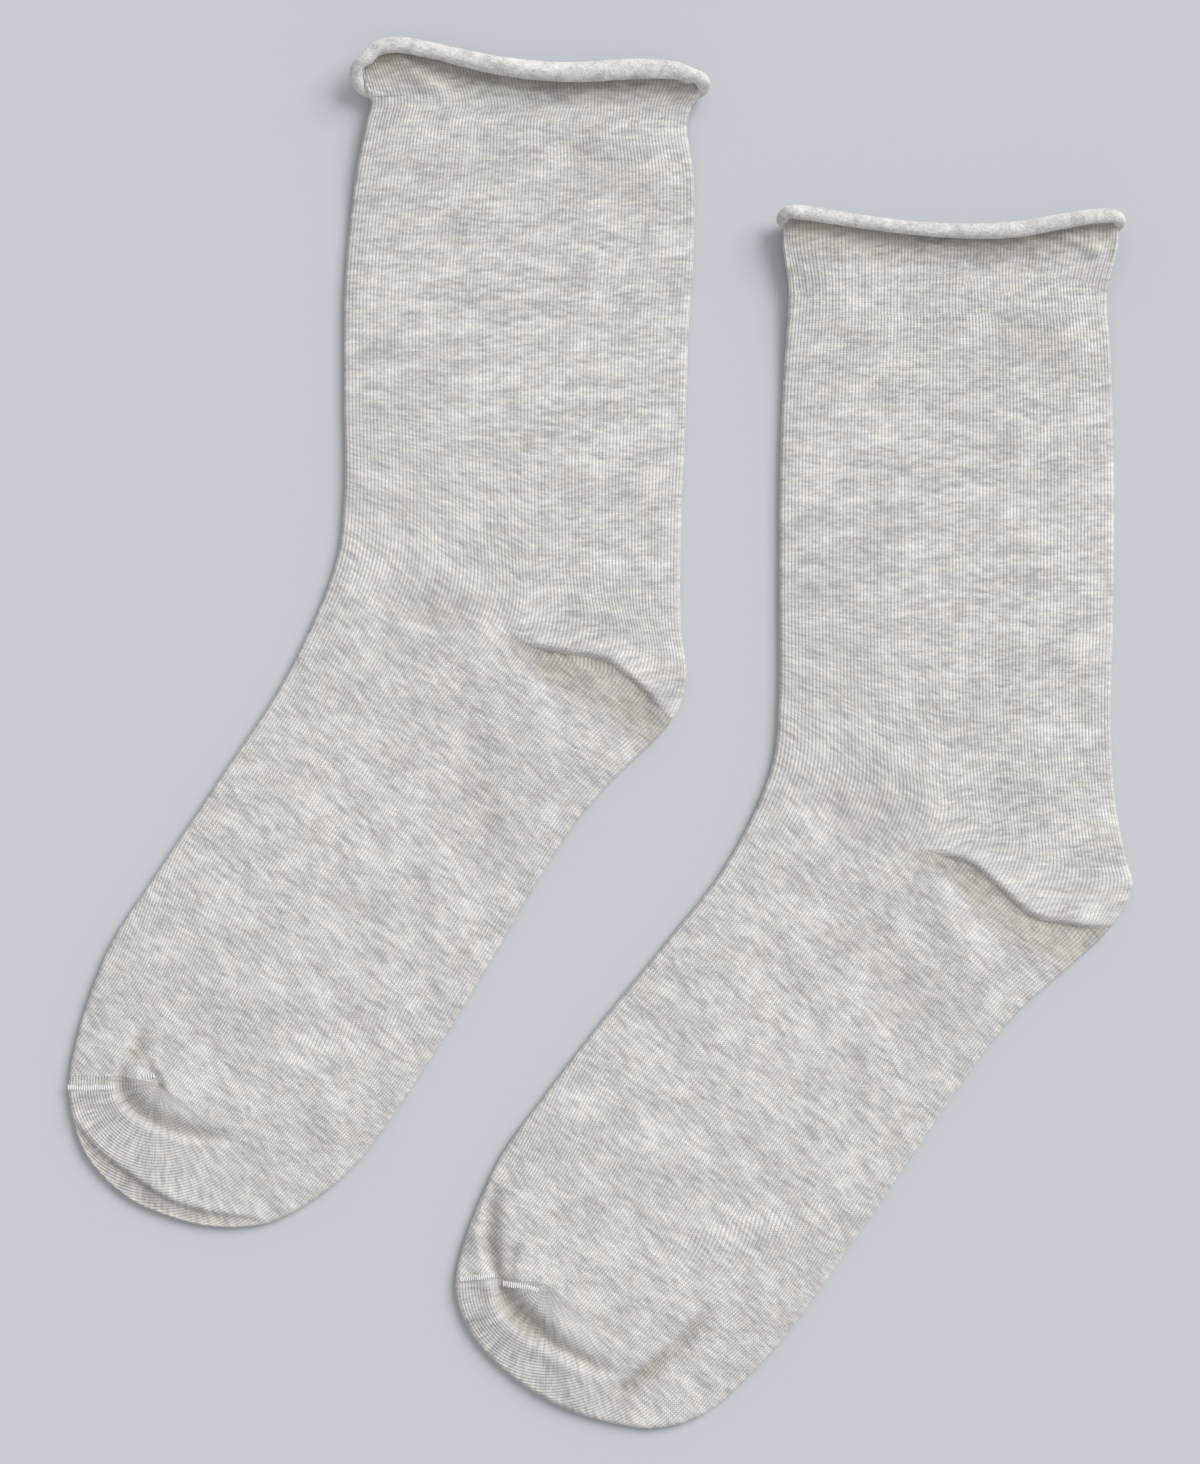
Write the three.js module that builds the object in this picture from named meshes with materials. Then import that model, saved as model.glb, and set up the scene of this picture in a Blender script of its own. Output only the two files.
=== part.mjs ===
// A pair of roll-top crew socks, lying flat side by side with both toes towards -X -Y.
// Millimetres, +Z up, the floor at z = 0, origin under the middle of the pair.
// Each sock is a flattened tube of knit cloth: an upper and a lower panel that run into each
// other round the front edge (shin and instep) and the back edge (calf, heel and sole).
import * as THREE from 'three';

// Driving dimensions.
const WALL = 1.0; // thickness of the knit
const EDGE = 1.4; // radius of the fold along the tube's two edges
const FLAT_HEIGHT = 2 * EDGE; // the flattened tube at its edges
const LOFT = 1.3; // how far the upper panel stands above the edges midway
const GAP = 0.3; // clearance between neighbouring pieces
const ROLL_RADIUS = 3.1; // the curled cuff edge
const TURN_RADIUS = 3.6; // where the curled edge turns from the upper panel to the lower one
const CUFF_LIFT = 4.6; // the roll under the lower panel holds the cuff this far off the floor
const WAIST_LIFT = 2.0; // and the waist this far
const FOLD_LAP = 5; // how far the heel's fold laps over the sole
const FOLD_RISE = 1.6; // how far that fold stands up
const SOLE_DIP = 1.2; // how far the sole sinks under it
const HEEL_START = 3.5; // the heel wedge starts this far from the ankle point
const SEAM_WIDTH = 1.6; // the toe's linking seam
const SEAM_THICK = 0.6;

// Steps of the faceted surface.
const ACROSS = 8; // along each panel, from the front edge to the back edge
const EDGE_STEPS = 4; // round each folded edge
const ROLL_SIDES = 8;
const RUN_STEPS = 12; // along one run of the roll
const TURN_STEPS = 5; // round each of its turns

// Where the sections of each region stand, from 0 at its start to 1 at its end.
const BAND_SECTIONS = [0, 0.5, 1];
const LEG_SECTIONS = [0, 0.1, 0.25, 0.5, 0.75, 0.9, 1];
const FOOT_SECTIONS = [0, 0.07, 0.16, 0.28, 0.45, 0.65, 0.85, 1];
const HEEL_SECTIONS = [0, 0.35, 0.7, 1];
const TOE_SECTIONS = [0, 0.2, 0.38, 0.55, 0.7, 0.83, 0.93, 0.985];
const TOE_TIP_HEIGHT = 1.5; // the last section, where the tip's fold rounds down
const HOLLOW_SECTIONS = [0, 0.2, 0.38, 0.55, 0.7, 0.83, 0.91]; // the hollow stops short of the tip

// The plan of each sock: its two edges from the waist to the tip of the toe, and its roll.
const SOCKS = [
  {
    side: 'left',
    front: {
      leg: [[-70, 181], [-73, 166.5], [-76.2, 137], [-76.6, 101], [-76.5, 71]],
      foot: [[-79, 51], [-94, 16.5], [-113.5, -13.5], [-133.5, -43.5], [-148.5, -67.5]],
      toe: [[-159, -103], [-158, -115.5], [-153.5, -127.5], [-141.5, -139.5], [-128.5, -145.5]],
    },
    back: {
      leg: [[26, 181], [28, 166.5], [28, 143], [26.5, 119], [25.5, 89], [24.2, 59]],
      heel: [[24.3, 31], [26, 15.5]],
      foot: [[21.5, 3.5], [4.5, -13.5], [-6, -25.5], [-18, -43.5], [-32, -67.5], [-50.5, -97.5]],
      toe: [[-75, -131.5], [-94.5, -145.5]],
    },
    waist: [-22, 181],
    ankle: [-30, 30],
    toeRoot: [-132, -105],
    tip: [-111, -148.5],
    roll: [[-69.5, 201.5], [-59, 204.8], [-36, 200], [-12, 197], [12, 195], [27.5, 195.5]],
  },
  {
    side: 'right',
    front: {
      leg: [[56.8, 131], [55.2, 110.5], [54, 80.5], [53.8, 44.5], [53.6, 8.5]],
      foot: [[51.5, -10.5], [38, -39.5], [19.5, -63.5], [0, -87.5], [-18.5, -111.5], [-31, -129.5]],
      toe: [[-43.3, -164.5], [-40, -177.5], [-30.5, -189.5], [-13, -201.5]],
    },
    back: {
      leg: [[150.8, 131], [152.5, 116.5], [153.8, 86.5], [153.8, 38.5], [153, 2.5]],
      heel: [[154.5, -22], [158, -39.5], [159.6, -45.8]],
      foot: [[153, -58.5], [141.5, -69.5], [127.5, -81.5], [117, -93.5], [100, -117.5], [79.5, -147.5]],
      toe: [[53.5, -183.5], [42, -195.5], [31.5, -204]],
    },
    waist: [104, 131],
    ankle: [94.5, -32.5],
    toeRoot: [-16, -165],
    tip: [15, -208.8],
    roll: [[60, 154.5], [72, 153.5], [89, 150.8], [104, 149.8], [121.5, 150.6], [139, 153], [150, 154.3]],
  },
];

const HEATHER = 0xcac9c5;
const HEATHER_ROLL = 0xc2c0bb;
const SEAM_WHITE = 0xe2e2e4;

function clothMaterial(name, colour) {
  const material = new THREE.MeshStandardMaterial({ color: colour, roughness: 0.95, metalness: 0 });
  material.name = name;
  return material;
}

const flat = ([x, y]) => new THREE.Vector3(x, y, 0);

// A smooth line through points, read by point number, whole or in between.
function smoothLine(points) {
  const curve = new THREE.CatmullRomCurve3(points.map(flat), false, 'centripetal');
  return (number) => curve.getPoint(number / (points.length - 1));
}

// One stretch of a line, read from 0 at its start to 1 at its end.
const stretch = (read, from, to) => (s) => read(THREE.MathUtils.lerp(from, to, s));
const straight = (a, b) => (s) => flat(a).lerp(flat(b), s);

// The edges and the middle line of one sock, cut into its regions.
function regionsOf({ front, back, waist, ankle, toeRoot, tip }) {
  const frontPoints = [...front.leg, ...front.foot, ...front.toe, tip];
  const backPoints = [...back.leg, ...back.heel, ...back.foot, ...back.toe, tip];
  const frontEdge = smoothLine(frontPoints);
  const backEdge = smoothLine(backPoints);
  const instep = front.leg.length;
  const seam = instep + front.foot.length;
  const heel = back.leg.length;
  const sole = heel + back.heel.length;
  const toe = sole + back.foot.length;
  return {
    leg: {
      front: stretch(frontEdge, 0, instep),
      middle: straight(waist, ankle),
      back: stretch(backEdge, 0, heel),
    },
    heel: { back: stretch(backEdge, heel, sole) },
    foot: {
      front: stretch(frontEdge, instep, seam),
      middle: straight(ankle, toeRoot),
      back: stretch(backEdge, sole, toe),
    },
    toe: {
      front: stretch(frontEdge, seam, frontPoints.length - 1),
      middle: straight(toeRoot, tip),
      back: stretch(backEdge, toe, backPoints.length - 1),
    },
  };
}

// A section across the tube. Its line runs front edge - middle - back edge in plan; start is
// where the panels begin on it, and side says which part of the tube's width it covers.
const section = (line, options = {}) => ({
  line,
  zTop: FLAT_HEIGHT,
  zBottom: 0,
  loft: LOFT,
  start: EDGE,
  side: [0, 1],
  fold: 0,
  lap: flat([0, 0]),
  ...options,
});

function lengthOf(line) {
  return line.slice(1).reduce((sum, point, k) => sum + point.distanceTo(line[k]), 0);
}

// The point at a distance along the bent line of a section.
function along(line, distance) {
  let left = distance;
  const isReached = (point, k) => {
    const length = point.distanceTo(line[k]);
    if (left <= length || k === line.length - 2) {
      return true;
    }
    left -= length;
    return false;
  };
  const k = line.slice(1).findIndex(isReached);
  return line[k].clone().lerp(line[k + 1], left / line[k].distanceTo(line[k + 1]));
}

// Across the width, from 0 at the front edge to 1 at the back edge: the panel's crown, the
// heel's fold, which lives on the back half, and the part of the fold that laps over.
const crown = (width) => 1 - (2 * width - 1) ** 4;
const foldShape = (width) => (width > 0.5 ? Math.sin(Math.PI * (2 * width - 1)) : 0);
const lapShape = (width) => Math.max(0, 2 * foldShape(width) - 1);

function panelPoint(cut, t, inset, isTop) {
  const reach = lengthOf(cut.line) - cut.start - EDGE;
  const point = along(cut.line, cut.start + t * reach);
  if (!isTop) {
    point.z = cut.zBottom + inset;
    return point;
  }
  const width = THREE.MathUtils.lerp(cut.side[0], cut.side[1], t);
  point.addScaledVector(cut.lap, lapShape(width));
  point.z = cut.zTop - inset + cut.loft * crown(width) + cut.fold * foldShape(width);
  return point;
}

// A point round a folded edge; the angle runs from 90 degrees on top to -90 underneath.
function edgePoint(cut, atBack, angle, inset) {
  const [edge, inward] = atBack ? [cut.line.at(-1), cut.line.at(-2)] : cut.line;
  const direction = inward.clone().sub(edge).normalize();
  const reach = EDGE - (EDGE - inset) * Math.cos(angle);
  const point = edge.clone().addScaledVector(direction, reach);
  const rise = (1 + Math.sin(angle)) / 2;
  point.z = THREE.MathUtils.lerp(cut.zBottom + inset, cut.zTop - inset, rise);
  return point;
}

const fractions = (steps) => Array.from({ length: steps + 1 }, (_, k) => k / steps);
const edgeAngles = fractions(EDGE_STEPS).slice(1, -1).map((s) => Math.PI * (0.5 - s));

// Over the top, round the back edge and under: half of the way round, or all that a wedge has.
const overAndUnder = (cut, inset) => [
  ...fractions(ACROSS).map((t) => panelPoint(cut, t, inset, true)),
  ...edgeAngles.map((angle) => edgePoint(cut, true, angle, inset)),
  ...fractions(ACROSS).map((t) => panelPoint(cut, 1 - t, inset, false)),
];

// The whole closed loop round the tube.
const loop = (cut, inset) => [
  ...overAndUnder(cut, inset),
  ...[...edgeAngles].reverse().map((angle) => edgePoint(cut, false, angle, inset)),
];

// A mesh from points and flat faces, turned so that its faces point outwards.
function solid(name, points, faces, material) {
  const index = faces.flatMap((face) => face.slice(2).flatMap((corner, k) => [face[0], face[k + 1], corner]));
  let volume = 0;
  for (let k = 0; k < index.length; k += 3) {
    const [a, b, c] = [points[index[k]], points[index[k + 1]], points[index[k + 2]]];
    volume += a.dot(b.clone().cross(c));
  }
  if (volume < 0) {
    index.reverse();
  }
  const geometry = new THREE.BufferGeometry().setFromPoints(points);
  geometry.setIndex(index);
  geometry.computeVertexNormals();
  const mesh = new THREE.Mesh(geometry, material);
  mesh.name = name;
  return mesh;
}

// Adds rows of points to the list and gives back rows of their numbers.
const numbered = (rows, points) => rows.map((row) => row.map((point) => points.push(point) - 1));

// Quads between two rows, closed into a ring or left open.
function strip(rowA, rowB, closed) {
  const count = rowA.length - (closed ? 0 : 1);
  return Array.from({ length: count }, (_, k) => {
    const next = (k + 1) % rowA.length;
    return [rowA[k], rowA[next], rowB[next], rowB[k]];
  });
}

const skin = (rows, closed) => rows.slice(1).flatMap((row, k) => strip(rows[k], row, closed));
const lining = (rows, closed) => skin([...rows].reverse(), closed);

// An open tube of cloth: outer skin, inner skin and a rim at each end.
function tube(name, cuts, material) {
  const points = [];
  const outer = numbered(cuts.map((cut) => loop(cut, 0)), points);
  const inner = numbered(cuts.map((cut) => loop(cut, WALL)), points);
  const faces = [
    ...skin(outer, true),
    ...lining(inner, true),
    ...strip(inner[0], outer[0], true),
    ...strip(outer.at(-1), inner.at(-1), true),
  ];
  return solid(name, points, faces, material);
}

// Closes a flattened loop with quads from its upper points to the lower ones.
function endCap(row) {
  const upper = row.slice(0, ACROSS + 1);
  const backEdge = row.slice(ACROSS + 1, ACROSS + EDGE_STEPS);
  const lower = row.slice(ACROSS + EDGE_STEPS, 2 * ACROSS + EDGE_STEPS + 1).reverse();
  const frontEdge = row.slice(2 * ACROSS + EDGE_STEPS + 1);
  return [
    ...strip(upper, lower, false),
    [upper.at(-1), ...backEdge, lower.at(-1)],
    [lower[0], ...frontEdge, upper[0]],
  ];
}

// A pocket of cloth, open at its first section and closed at its last.
function pocket(name, cuts, hollowCuts, material) {
  const points = [];
  const outer = numbered(cuts.map((cut) => loop(cut, 0)), points);
  const inner = numbered(hollowCuts.map((cut) => loop(cut, WALL)), points);
  const faces = [
    ...skin(outer, true),
    ...lining(inner, true),
    ...strip(inner[0], outer[0], true),
    ...endCap(outer.at(-1)),
    ...endCap(inner.at(-1)).map((face) => [...face].reverse()),
  ];
  return solid(name, points, faces, material);
}

// A sheet with a thickness: an outer and an inner grid joined round all four sides.
function sheet(name, outerRows, innerRows, material) {
  const points = [];
  const outer = numbered(outerRows, points);
  const inner = numbered(innerRows, points);
  const column = (rows, k) => rows.map((row) => row.at(k));
  const faces = [
    ...skin(outer, false),
    ...lining(inner, false),
    ...strip(inner[0], outer[0], false),
    ...strip(outer.at(-1), inner.at(-1), false),
    ...strip(column(outer, 0), column(inner, 0), false),
    ...strip(column(inner, -1), column(outer, -1), false),
  ];
  return solid(name, points, faces, material);
}

const lineAt = (region, s, shift) => [region.front, region.middle, region.back]
  .map((edge) => edge(s).add(shift));

// The curled edge of the cuff: a closed ring that runs along the upper panel, turns down and
// comes back along the lower one.
function cuffRoll(name, sock, material) {
  const run = smoothLine(sock.roll);
  const low = ROLL_RADIUS;
  const middle = low + TURN_RADIUS;
  const ends = sock.roll.length - 1;
  const runPoint = (s, z) => run(s * ends).setZ(z);
  const turnPoint = (s, sense) => (angle) => {
    const point = runPoint(s, middle + sense * TURN_RADIUS * Math.cos(angle));
    point.x += sense * TURN_RADIUS * Math.sin(angle);
    return point;
  };
  const turnAngles = fractions(TURN_STEPS).slice(1, -1).map((s) => Math.PI * s);
  const path = [
    ...fractions(RUN_STEPS).map((s) => runPoint(s, middle + TURN_RADIUS)),
    ...turnAngles.map(turnPoint(1, 1)),
    ...fractions(RUN_STEPS).map((s) => runPoint(1 - s, low)),
    ...turnAngles.map(turnPoint(0, -1)),
  ];
  const rings = path.map((centre, k) => {
    const ahead = path[(k + 1) % path.length].clone().sub(path.at(k - 1)).normalize();
    const out = ahead.clone().cross(new THREE.Vector3(0, 1, 0)).normalize();
    const side = out.clone().cross(ahead);
    return fractions(ROLL_SIDES).slice(1).map((s) => centre.clone()
      .addScaledVector(side, ROLL_RADIUS * Math.cos(2 * Math.PI * s))
      .addScaledVector(out, ROLL_RADIUS * Math.sin(2 * Math.PI * s)));
  });
  const points = [];
  const rows = numbered(rings, points);
  return solid(name, points, skin([...rows, rows[0]], true), material);
}

// The band under the roll, held off the floor by the roll beneath it. Its upper rim follows
// the roll and its lower rim the waist.
function cuffBand(name, sock, regions, material) {
  const run = smoothLine(sock.roll);
  const clear = flat([0, -ROLL_RADIUS - GAP]);
  const places = fractions(sock.roll.length - 1);
  const cuffLine = places.map((s) => run(s * (sock.roll.length - 1)).add(clear));
  const waist = lineAt(regions.leg, 0, flat([0, GAP]));
  const waistLine = places.map((s) => along(waist, s * lengthOf(waist)));
  const cuts = BAND_SECTIONS.map((s) => {
    const lift = THREE.MathUtils.lerp(CUFF_LIFT, WAIST_LIFT, s);
    const line = cuffLine.map((point, k) => point.clone().lerp(waistLine[k], s));
    return section(line, { zTop: FLAT_HEIGHT + lift, zBottom: lift, loft: LOFT * s });
  });
  return tube(name, cuts, material);
}

function leg(name, regions, material) {
  const lastSection = LEG_SECTIONS.length - 1;
  const cuts = LEG_SECTIONS.map((s, k) => {
    const lift = WAIST_LIFT * (1 - THREE.MathUtils.smoothstep(s, 0, LEG_SECTIONS[2]));
    const line = lineAt(regions.leg, s, flat([0, k === lastSection ? GAP : 0]));
    return section(line, { zTop: FLAT_HEIGHT + lift, zBottom: lift });
  });
  return tube(name, cuts, material);
}

// The heel's wedge, fanned out from the ankle point, with its fold lapped over the sole.
function heel(name, sock, regions, footward, material) {
  const ankle = flat(sock.ankle);
  const cuts = HEEL_SECTIONS.map((s) => {
    const shift = flat([0, -GAP]).lerp(footward.clone().multiplyScalar(-GAP), s);
    const edge = regions.heel.back(s);
    const line = [ankle, ankle.clone().lerp(edge, 0.5), edge].map((point) => point.clone().add(shift));
    const lap = footward.clone().multiplyScalar(FOLD_LAP * s);
    return section(line, { start: HEEL_START, side: [0.5, 1], fold: FOLD_RISE * s, lap });
  });
  const rows = (inset) => cuts.map((cut) => overAndUnder(cut, inset));
  return sheet(name, rows(0), rows(WALL), material);
}

function foot(name, regions, footward, material) {
  const lastSection = FOOT_SECTIONS.length - 1;
  const cuts = FOOT_SECTIONS.map((s, k) => {
    const side = { 0: 1, [lastSection]: -1 }[k] ?? 0;
    const line = lineAt(regions.foot, s, footward.clone().multiplyScalar(side * GAP));
    return section(line, { fold: -SOLE_DIP * Math.max(0, 1 - 2 * s) });
  });
  return tube(name, cuts, material);
}

function toe(name, regions, footward, material) {
  const cutsAt = (places) => places.map((s) => {
    const shift = footward.clone().multiplyScalar(s === 0 ? GAP : 0);
    return section(lineAt(regions.toe, s, shift), { loft: LOFT * (1 - s) });
  });
  const cuts = cutsAt(TOE_SECTIONS);
  const margin = (FLAT_HEIGHT - TOE_TIP_HEIGHT) / 2;
  Object.assign(cuts.at(-1), { zTop: FLAT_HEIGHT - margin, zBottom: margin, loft: 0 });
  return pocket(name, cuts, cutsAt(HOLLOW_SECTIONS), material);
}

// The linking seam: a raised thread over the instep's half, down to the front edge.
function toeSeam(name, regions, footward, material) {
  const seamTs = fractions(ACROSS).filter((t) => t < 0.5).reverse();
  const rows = (inset) => [-1, 1].map((sense) => {
    const cut = section(lineAt(regions.toe, 0, footward.clone().multiplyScalar(sense * SEAM_WIDTH / 2)));
    return [
      ...seamTs.map((t) => panelPoint(cut, t, inset, true)),
      ...edgeAngles.filter((angle) => angle >= 0).map((angle) => edgePoint(cut, false, angle, inset)),
    ];
  });
  return sheet(name, rows(-GAP - SEAM_THICK), rows(-GAP), material);
}

function sockGroup(sock) {
  const regions = regionsOf(sock);
  const footward = flat(sock.toeRoot).sub(flat(sock.ankle)).normalize();
  const knit = clothMaterial('heather_knit', HEATHER);
  const label = (piece) => `${sock.side}_${piece}`;
  const group = new THREE.Group();
  group.add(
    cuffRoll(label('cuff_roll'), sock, clothMaterial('curled_edge', HEATHER_ROLL)),
    cuffBand(label('cuff_band'), sock, regions, knit.clone()),
    leg(label('leg'), regions, knit.clone()),
    heel(label('heel'), sock, regions, footward, knit.clone()),
    foot(label('foot'), regions, footward, knit.clone()),
    toe(label('toe'), regions, footward, knit.clone()),
    toeSeam(label('toe_seam'), regions, footward, clothMaterial('seam_thread', SEAM_WHITE)),
  );
  return group;
}

const pair = new THREE.Group();
SOCKS.forEach((sock) => pair.add(sockGroup(sock)));

export default pair;
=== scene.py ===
import math

import bpy
import numpy as np
from bpy.props import FloatProperty, FloatVectorProperty, PointerProperty
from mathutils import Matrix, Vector


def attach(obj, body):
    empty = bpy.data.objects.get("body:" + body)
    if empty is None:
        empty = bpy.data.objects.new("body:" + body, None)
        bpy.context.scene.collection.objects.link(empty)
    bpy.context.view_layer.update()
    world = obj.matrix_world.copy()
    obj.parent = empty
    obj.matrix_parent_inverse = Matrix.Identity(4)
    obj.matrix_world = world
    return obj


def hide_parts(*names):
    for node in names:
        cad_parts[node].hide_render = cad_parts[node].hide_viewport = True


bl_info = {
    "name": "Rolled Socks",
    "version": (1, 0, 0),
    "blender": (4, 5, 0),
    "location": "3D View > Sidebar > Socks",
    "description": "Builds a pair of roll-top knit socks laid flat, with their seams and stage",
    "category": "Add Mesh",
}

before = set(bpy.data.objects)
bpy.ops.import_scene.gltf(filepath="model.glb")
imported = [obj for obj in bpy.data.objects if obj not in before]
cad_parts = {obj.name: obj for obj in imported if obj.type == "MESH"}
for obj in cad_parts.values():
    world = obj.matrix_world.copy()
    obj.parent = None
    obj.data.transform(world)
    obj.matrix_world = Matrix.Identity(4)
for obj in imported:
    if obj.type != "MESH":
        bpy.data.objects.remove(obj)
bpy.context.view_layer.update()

MM = 0.001
SIDES = ("left", "right")
# The regions that a sock's rows lie in.
LEG, FOOT, TOE = 0, 1, 2
# The knitted tube: wales in half of it, the mesh's columns between its rounded edges, and the length of
# cloth in millimetres that goes round the toe for each radian.
HALF_WALES = 100
COLUMNS_INSIDE = 92
TOE_COURSES = 46
# Slow unevenness of the socks and of the bands, in millimetres of height.
SOCK_UNEVEN = 0.32
BAND_UNEVEN = 0.22
# The leg laps over the heel's wedge: how far the wedge sinks and the leg stands up along the line, and the
# lap's half width, overhang, rise and dip, in millimetres.
HEEL_LAP = {"sink": 1.0, "stand": 0.5, "half": 4.2, "reach": 0.9, "rise": 0.15, "dip": 0.05}
# How far the roll lifts the leg's mouth, in millimetres, and the samples along its runs and round its ends.
MOUTH_LIFT = 2.6
RING_RUN = 104
RING_TURN = 16
# The roll's spiral: its steps, how much its radius shrinks on the way in, and how lumpy it is.
ROLL_STEPS = 58
ROLL_SHRINK = 0.46
ROLL_LUMP = 0.004
# The seam's stitches: their spacing in wales, and how far they stand off the knit in millimetres.
STITCH_STEP = 0.64
STITCH_RAISE = 0.04
# The floor reaches this far from the middle in metres, and lies just clear of the cloth.
FLOOR_REACH = 40.0
FLOOR_DROP = 0.0001

# Plan of each sock in millimetres, seen from above with the toes towards -Y. The front and back lines
# run from under the cuff to the tip. heel and toe_end are the pivots that the knitting turns about, and
# heel_reach is how far the heel's wedge lies in shade. seed fixes the cloth's slow unevenness.
PLAN = {
    "left": {
        "front": [(-68.4, 187), (-70, 181), (-73, 166.5), (-76.2, 137), (-76.6, 101), (-76.5, 71),
                  (-79, 51), (-94, 16.5), (-113.5, -13.5), (-133.5, -43.5), (-148.5, -67.5),
                  (-159, -103), (-158, -115.5), (-153.5, -127.5), (-141.5, -139.5),
                  (-128.5, -145.3), (-119.5, -147.7), (-111, -148.5)],
        "back": [(27.4, 187), (26, 181), (28, 166.5), (28, 143), (26.5, 119), (25.5, 89), (24.2, 59),
                 (24.3, 31), (26, 15.5), (21.5, 3.5), (4.5, -13.5), (-6, -25.5), (-18, -43.5),
                 (-32, -67.5), (-50.5, -97.5), (-75, -131.5), (-94.5, -145.2), (-102.5, -147.8),
                 (-111, -148.5)],
        "waist": (-20.5, 187),
        "waist_y": 181,
        "heel": (-29, 31),
        "heel_front": (-79, 51),
        "heel_back": (21.5, 3.5),
        "heel_fold": [(-24, 27), (-18.6, 24), (-10.2, 22.5), (-3.9, 21.6), (2.1, 19.8), (7.2, 16.2),
                      (12, 11.7), (15.6, 8.1)],
        "toe_end": (-132, -105),
        "toe_front": (-159, -103),
        "toe_back": (-85, -140.5),
        "heel_reach": 9.5,
        "seed": 11,
    },
    "right": {
        "front": [(57, 137), (56.8, 131), (55.2, 110.5), (54, 80.5), (53.8, 44.5), (53.6, 8.5),
                  (51.5, -10.5), (38, -39.5), (19.5, -63.5), (0, -87.5), (-18.5, -111.5),
                  (-31, -129.5), (-43.3, -164.5), (-40, -177.5), (-30.5, -189.5), (-13, -201.5),
                  (3, -206.9), (15, -208.8)],
        "back": [(150.4, 137), (150.8, 131), (152.5, 116.5), (153.8, 86.5), (153.8, 38.5), (153, 2.5),
                 (154.5, -22), (158, -39.5), (159.6, -45.8), (153, -58.5), (141.5, -69.5),
                 (127.5, -81.5), (117, -93.5), (100, -117.5), (79.5, -147.5), (53.5, -183.5),
                 (42, -195.5), (33.5, -202.8), (24, -207.4), (15, -208.8)],
        "waist": (103.7, 137),
        "waist_y": 131,
        "heel": (94, -32),
        "heel_front": (51.5, -10.5),
        "heel_back": (153, -58.5),
        "heel_fold": [(96.3, -34.8), (102.6, -37.8), (109.8, -40.2), (115.8, -45), (122.1, -50.7),
                      (126.9, -54.9), (132, -57.3), (139.2, -58.5), (145.2, -59.4)],
        "toe_end": (-16, -165),
        "toe_front": (-43.3, -164.5),
        "toe_back": (31.5, -203.8),
        "heel_reach": 6.5,
        "seed": 23,
    },
}

# Soft lines in the cloth, in millimetres: the points, the height (below nought it is a trough), and the
# half width. They are laid on the upper side.
CREASES = {
    "left": [
        ([(-30, 33), (-24.9, 43.8), (-21, 56), (-19, 70)], 0.8, 3.6),
        ([(-32.7, 24), (-22.2, 13.8), (-15.6, -8.4), (-10.2, -23.7)], 1.0, 4.8),
        ([(-42, 14), (-40, -4), (-36, -22), (-33.6, -54)], -1.25, 6.0),
        ([(-33, 28), (-44, 34), (-58, 36), (-74, 40)], -0.8, 4.5),
        ([(-52, 60), (-60, 48), (-74, 34)], 0.35, 4.5),
        ([(8, 8), (2, -4), (-8, -14)], -0.35, 4.0),
        ([(-14, 184), (2, 168), (20, 152)], -0.7, 6.0),
        ([(-44, 172), (-36, 150), (-34, 122)], 0.4, 6.0),
        ([(-60, 176), (-48, 168), (-40, 150), (-38, 128)], -0.25, 6.0),
        ([(6, 170), (-4, 150), (-6, 120), (2, 90)], 0.25, 9.0),
        ([(-70, -30), (-84, -56), (-104, -80), (-122, -96)], 0.3, 8.0),
        ([(-46, -40), (-62, -70), (-84, -98), (-108, -118)], -0.3, 8.0),
        ([(-128, -92), (-136, -98), (-137.5, -105), (-133, -111), (-125, -114.5), (-112, -117)], 0.6, 2.6),
    ],
    "right": [
        ([(90.3, -33), (99.3, -45), (107.4, -57.3), (112.2, -67.2), (122, -84)], 1.15, 5.0),
        ([(83, -50), (86, -67), (93.3, -84.9), (98, -98)], -1.0, 5.5),
        ([(94, -28), (98, -14), (100, 2)], 0.7, 3.8),
        ([(116, 136), (128, 120), (142, 101)], -0.75, 6.0),
        ([(90, -30), (78, -26), (66, -20), (54, -14)], -0.85, 4.5),
        ([(130, -64), (122, -72), (112, -78)], -0.4, 4.0),
        ([(70, 120), (76, 96), (74, 66), (80, 40)], -0.25, 8.0),
        ([(132, 118), (126, 90), (130, 60), (124, 30)], 0.25, 9.0),
        ([(60, -64), (40, -92), (22, -116), (4, -140)], 0.3, 8.0),
        ([(86, -80), (66, -110), (48, -136), (30, -160)], -0.3, 8.0),
        ([(-26, -134), (-28.6, -146), (-28.4, -158), (-24, -166), (-17, -173), (-8, -180), (2, -184.5)],
         0.8, 2.6),
        ([(2, -184.5), (10, -184), (17, -178), (23, -170)], 0.5, 2.6),
    ],
}

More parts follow.
